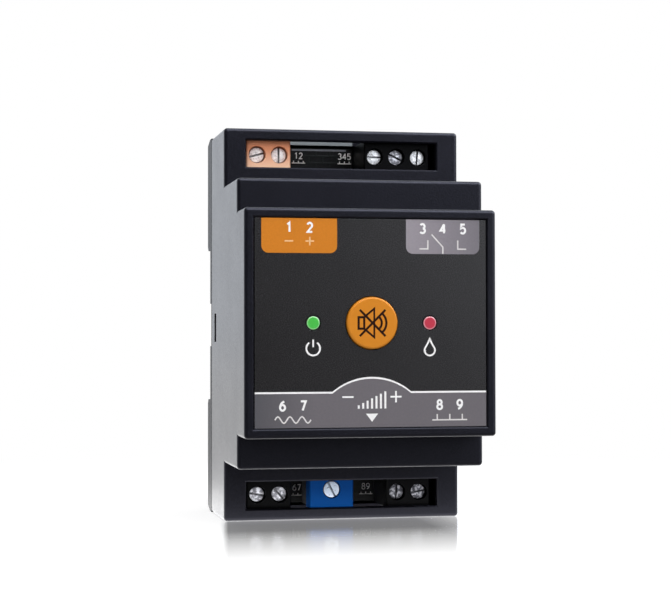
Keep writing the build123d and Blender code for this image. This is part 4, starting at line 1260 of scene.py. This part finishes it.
@dataclass
class Electronics:
    """Boards, their links and components, and the print beside the terminals.

    Each caption is its numerals with their place, and each sign the place of its middle.
    """

    captions: tuple[tuple[str, float, float], ...] = (
        ("12", -7.4, 39.6), ("345", 3.6, 39.6), ("67", -7.9, -38.0), ("89", 8.6, -38.0),
    )
    signs: tuple[tuple[float, float], ...] = (
        (-7.4, 37.9), (3.6, 37.9), (-7.6, -39.8), (8.6, -39.8),
    )
    numeral: float = 1.35
    numeral_line: float = 0.22
    sign_length: float = 3.2
    sign_line: float = 0.2
    # Painted glint: the strip along the board's top edge
    glint_strip: tuple[tuple[float, float], ...] = ((-9.0, 41.0), (4.0, 41.0))
    glint_strip_width: float = 0.42

    def build(self) -> None:
        """Dresses the parts, prints the numbers on the main board, and lays a tin strip there as a
        painted glint of the board's top edge.
        """
        dress(MASK_BLACK, "main_board", "display_board", "riser_board")
        dress(CLAMP_ZINC, "main_board_screws", "display_board_screws")
        dress(PART_BLACK, "main_socket", "display_socket", "riser_plugs", "microcontroller")
        dress(PART_BLACK, "bus_driver", "buzzer", "power_converter")
        dress(PIN_GOLD, "riser_pins")
        dress(RELAY_BLUE, "relay")
        dress(CAN_SLEEVE, "filter_capacitors")
        ink = Print.on("main_board")
        for text, x, z in self.captions:
            ink.number(text, x, z, self.numeral, self.numeral_line)
        for x, z in self.signs:
            ink.shape(Symbol.BUS.strokes(), x, z, self.sign_length, self.sign_line)
        ink.piece("board_numbers", SOFT_WHITE)
        # Painted glint of the board's top edge, laid as a tin strip
        glint_strip = Print.on("main_board")
        glint_strip.line(*self.glint_strip, width=self.glint_strip_width)
        glint_strip.piece("board_edge_glint", EDGE_GLINT_TIN)
        LOG.info("electronics: board_numbers, board_edge_glint")


# ---------------------------------------------------------------- studio
class Glow(NamedTuple):
    """A bright side of the room: it grows as a direction's cosine goes from start to full."""

    axis: tuple[float, float, float]
    start: float
    full: float
    dim: float
    bright: float


class Lamp(NamedTuple):
    """A round soft lamp, in metres and watts."""

    name: str
    place: tuple[float, float, float]
    size: float
    power: float


@dataclass
class Studio:
    """Pale floor, white surround, soft lamps and the photograph's camera."""

    camera_mm: tuple[float, float, float] = (-79.864, -409.621, -3.078)
    yaw: float = 0.20029
    pitch: float = 0.02286
    roll: float = -0.00166
    lens: float = 93.27
    floor_radius: float = 2.4
    floor_grey: float = 0.50
    floor_glow: float = 0.72
    floor_front: float = 0.15
    floor_behind: float = 4.9
    floor_far: float = 1.75
    polish_rough: float = 0.11
    polish_most: float = 0.78
    polish_right: float = 0.34
    polish_front: float = 0.03
    # Across the line of sight along the object's left side
    polish_across: tuple[float, float, float] = (1.0, -0.137, 0.0)
    # Where the floor changes, in millimetres from the middle: start and end of each ramp
    left_ramp: tuple[float, float] = (-24.6, -22.8)
    right_ramp: tuple[float, float] = (30.0, 16.0)
    front_ramp: tuple[float, float] = (-100.0, -44.0)
    depth_ramp: tuple[float, float] = (-60.0, -20.0)
    spread_ramp: tuple[float, float] = (40.0, 100.0)
    far_ramp: tuple[float, float] = (100.0, 200.0)
    fill: float = 0.34
    room_tint: str = "#f3f8ff"
    # Behind, above, above to the right, up in front, and right in front of the object
    glows: tuple[Glow, ...] = (
        Glow((0.0, 1.0, 0.0), -0.08, 0.32, 0.0, 1.95),
        Glow((0.0, -0.50, 0.866), 0.84, 1.00, 0.0, 12.0),
        Glow((0.70, -0.35, 0.62), 0.87, 0.98, 0.0, 16.0),
        Glow((0.0, 0.0, 1.0), -0.10, 0.22, 0.05, 0.24),
        Glow((0.69, -0.66, 0.30), 0.78, 1.00, 0.0, 4.0),
    )
    aim: tuple[float, float, float] = (0.0, -0.03, 0.0)
    lamps: tuple[Lamp, ...] = (
        Lamp("overhead_lamp", (0.05, -0.22, 0.62), 0.55, 2.6),
        Lamp("front_lamp", (-0.35, -0.75, 0.25), 0.6, 2.2),
        Lamp("right_lamp", (0.42, -0.75, 0.50), 0.5, 2.0),
    )

    def build(self) -> None:
        """Makes everything around the object."""
        self.place_camera()
        self.lay_floor()
        self.light_world()
        self.hang_lamps()
        bpy.context.scene.view_settings.view_transform = "Standard"
        LOG.info("studio: camera, floor, world, %d lamps", len(self.lamps))

    def place_camera(self) -> None:
        """Sets the camera: forward is (sin yaw cos pitch, cos yaw cos pitch, sin pitch)."""
        data = bpy.data.cameras.new("camera")
        data.sensor_width = 36.0
        data.lens = self.lens
        data.clip_start = 0.01
        camera = new_object("camera", data)
        sy, cy, sp, cp = sin(self.yaw), cos(self.yaw), sin(self.pitch), cos(self.pitch)
        forward = np.array([sy * cp, cy * cp, sp])
        level = np.array([cy, -sy, 0.0])
        above = np.cross(level, forward)
        right = level * cos(self.roll) + above * sin(self.roll)
        up = above * cos(self.roll) - level * sin(self.roll)
        stand(camera, (right, up, -forward), np.array(self.camera_mm) * MM)
        bpy.context.scene.camera = camera

    def lay_floor(self) -> None:
        """Lays a round floor under the object: rings of points at growing radii."""
        radius = np.concatenate([[0.0], np.geomspace(0.02, self.floor_radius, 24)])[:, None]
        angle = np.linspace(0, 2 * pi, 65)[None, :-1]
        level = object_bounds()[0][2]
        disc = (radius * np.cos(angle), radius * np.sin(angle), level + 0 * radius * angle)
        surface = Surface(np.stack(disc, axis=2), wrap_columns=True)
        mesh = bpy.data.meshes.new("floor")
        faces = surface.quads(0)[:, ::-1].tolist()
        mesh.from_pydata(surface.points.reshape(-1, 3).tolist(), [], faces)
        mesh.validate()
        floor = new_object("floor", mesh)
        mesh.materials.append(self.floor_material())
        floor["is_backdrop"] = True

    def floor_material(self) -> bpy.types.Material:
        """Makes white glossy acrylic: a polished sheet near the object, plain white far off.

        The sheet is lit white with the object's shadow. Its polish reflects the object, and
        the reflection dies away a few centimetres in front of it.

        Returns:
            The material.
        """
        material, add = new_material("White acrylic floor")
        place = add("TexCoord").outputs["Object"]
        path = add("LightPath").outputs
        camera, glossy = path["Is Camera Ray"], path["Is Glossy Ray"]
        reach = add("VectorMath", {"operation": "LENGTH"}, {0: place}).outputs["Value"]
        reflected = self.floor_reflected(add, place, reach, glossy)
        shine = {"operation": "MULTIPLY_ADD", 1: self.floor_glow}
        strength = add("Math", shine, {0: camera, 2: reflected})
        glow = add("Emission", {"Color": WHITE}, {"Strength": strength})
        paper = add("BsdfDiffuse", {"Color": (*[self.floor_grey] * 3, 1.0)})
        lit = add("AddShader", links={0: paper, 1: glow})
        mirror = add("BsdfGlossy", {"Roughness": self.polish_rough, "Color": WHITE})
        polish = self.floor_polish(add, place, camera)
        sheet = add("MixShader", links={0: polish, 1: lit, 2: mirror})
        bright = add("Math", {"operation": "ADD"}, {0: camera, 1: reflected})
        white = add("Emission", {"Color": WHITE}, {"Strength": bright})
        start, end = (edge * MM for edge in self.far_ramp)
        fade = {"From Min": start, "From Max": end, "interpolation_type": "SMOOTHSTEP"}
        far = add("MapRange", fade, {"Value": reach})
        seen = add("Math", {"operation": "MAXIMUM"}, {0: camera, 1: glossy})
        distant = add("Math", {"operation": "MULTIPLY"}, {0: far, 1: seen})
        mix = add("MixShader", links={0: distant, 1: sheet, 2: white})
        add("OutputMaterial", links={"Surface": mix})
        return material

    def floor_reflected(self, add: Adder, place: Socket, reach: Socket, glossy: Socket) -> Node:
        """Works out how bright the object's gloss sees the floor: bright behind, dim in front.

        Args:
            add: add_node for the floor's tree.
            place: Socket of the Object coordinates.
            reach: Socket of the distance from the origin.
            glossy: Socket that is one for a reflected ray.

        Returns:
            The node that gives the strength, zero for all other rays.
        """
        depth = add("SeparateXYZ", links={"Vector": place}).outputs["Y"]
        near, far = (edge * MM for edge in self.spread_ramp)
        values = {"To Min": self.floor_behind, "To Max": self.floor_far}
        spread = add("MapRange", {"From Min": near, "From Max": far} | values, {"Value": reach})
        front, back = (edge * MM for edge in self.depth_ramp)
        rise = {"From Min": front, "From Max": back, "interpolation_type": "SMOOTHSTEP"}
        links = {"Value": depth, "To Max": spread}
        behind = add("MapRange", rise | {"To Min": self.floor_front}, links)
        return add("Math", {"operation": "MULTIPLY"}, {0: glossy, 1: behind})

    def floor_polish(self, add: Adder, place: Socket, camera: Socket) -> Node:
        """Works out the share of polish: it fades past the object's left, right and front.

        The left border is a line of sight, so that it never cuts across the reflection: it
        is where the place's product with polish_across passes left_ramp.

        Args:
            add: add_node for the floor's tree.
            place: Socket of the Object coordinates.
            camera: Socket that is one for a camera ray.

        Returns:
            The node that gives the share, zero for all other rays.
        """
        parts = add("SeparateXYZ", links={"Vector": place}).outputs
        sight = {"operation": "DOT_PRODUCT", 1: self.polish_across}
        across = add("VectorMath", sight, {0: place}).outputs["Value"]
        start, full = (edge * MM for edge in self.left_ramp)
        border = {"From Min": start, "From Max": full, "To Max": self.polish_most}
        polish = add("MapRange", border, {"Value": across})
        for source, ramp, least in (
            (parts["X"], self.right_ramp, self.polish_right),
            (parts["Y"], self.front_ramp, self.polish_front),
        ):
            start, full = (edge * MM for edge in ramp)
            fade = {"From Min": start, "From Max": full, "To Min": least}
            polish = add("MapRange", fade, {"Value": source, "To Max": polish})
        return add("Math", {"operation": "MULTIPLY"}, {0: polish, 1: camera})

    def light_world(self) -> None:
        """Surrounds the object with white to look at, and a softer light to be lit by.

        Reflections see white behind and above the object, and in front a dim room that
        brightens upwards and to the right, as one behind the photographer does.
        """
        world = bpy.data.worlds.new("studio")
        world.use_nodes = True
        world.node_tree.nodes.clear()
        add = partial(add_node, world.node_tree)
        way = add("TexCoord").outputs["Generated"]
        path = add("LightPath").outputs
        camera, glossy = path["Is Camera Ray"], path["Is Glossy Ray"]
        room = None
        for glow in self.glows:
            angle = {"operation": "DOT_PRODUCT", 1: glow.axis}
            ramp = add(
                "MapRange",
                {
                    "From Min": glow.start, "From Max": glow.full,
                    "To Min": glow.dim, "To Max": glow.bright,
                    "interpolation_type": "SMOOTHSTEP",
                },
                {"Value": add("VectorMath", angle, {0: way}).outputs["Value"]},
            )
            most = {"operation": "MAXIMUM"}
            room = add("Math", most, {0: room, 1: ramp}) if room else ramp
        gloss = add("Mix", {2: self.fill}, {0: glossy, 3: room})
        strength = add("Math", {"operation": "MAXIMUM"}, {0: gloss, 1: camera})
        tint = add("MixRGB", {"Color1": WHITE, "Color2": linear(self.room_tint)}, {"Fac": glossy})
        light = add("Background", links={"Color": tint, "Strength": strength})
        add("OutputWorld", links={"Surface": light})
        bpy.context.scene.world = world

    def hang_lamps(self) -> None:
        """Hangs the lamps so that they face the object; reflections see the world alone."""
        for lamp in self.lamps:
            data = bpy.data.lights.new(lamp.name, "AREA")
            data.shape = "DISK"
            data.size = lamp.size
            data.energy = lamp.power
            hung = new_object(lamp.name, data)
            hung.visible_glossy = False
            away = np.array(lamp.place) - np.array(self.aim)
            away /= np.linalg.norm(away)
            across = np.cross([0.0, 0.0, 1.0], away)
            across /= np.linalg.norm(across)
            stand(hung, (across, np.cross(away, across), away), np.array(lamp.place))


def main() -> None:
    """Builds the studio and every sub-assembly in order."""
    logging.basicConfig(level=logging.INFO, format="%(name)s: %(message)s")
    for part in (
        Studio(),
        Enclosure(),
        FrontPlate(),
        MuteButton(),
        Indicators(),
        Terminals(),
        Trimmer(),
        Electronics(),
    ):
        part.build()


if __name__ == "__main__":
    main()
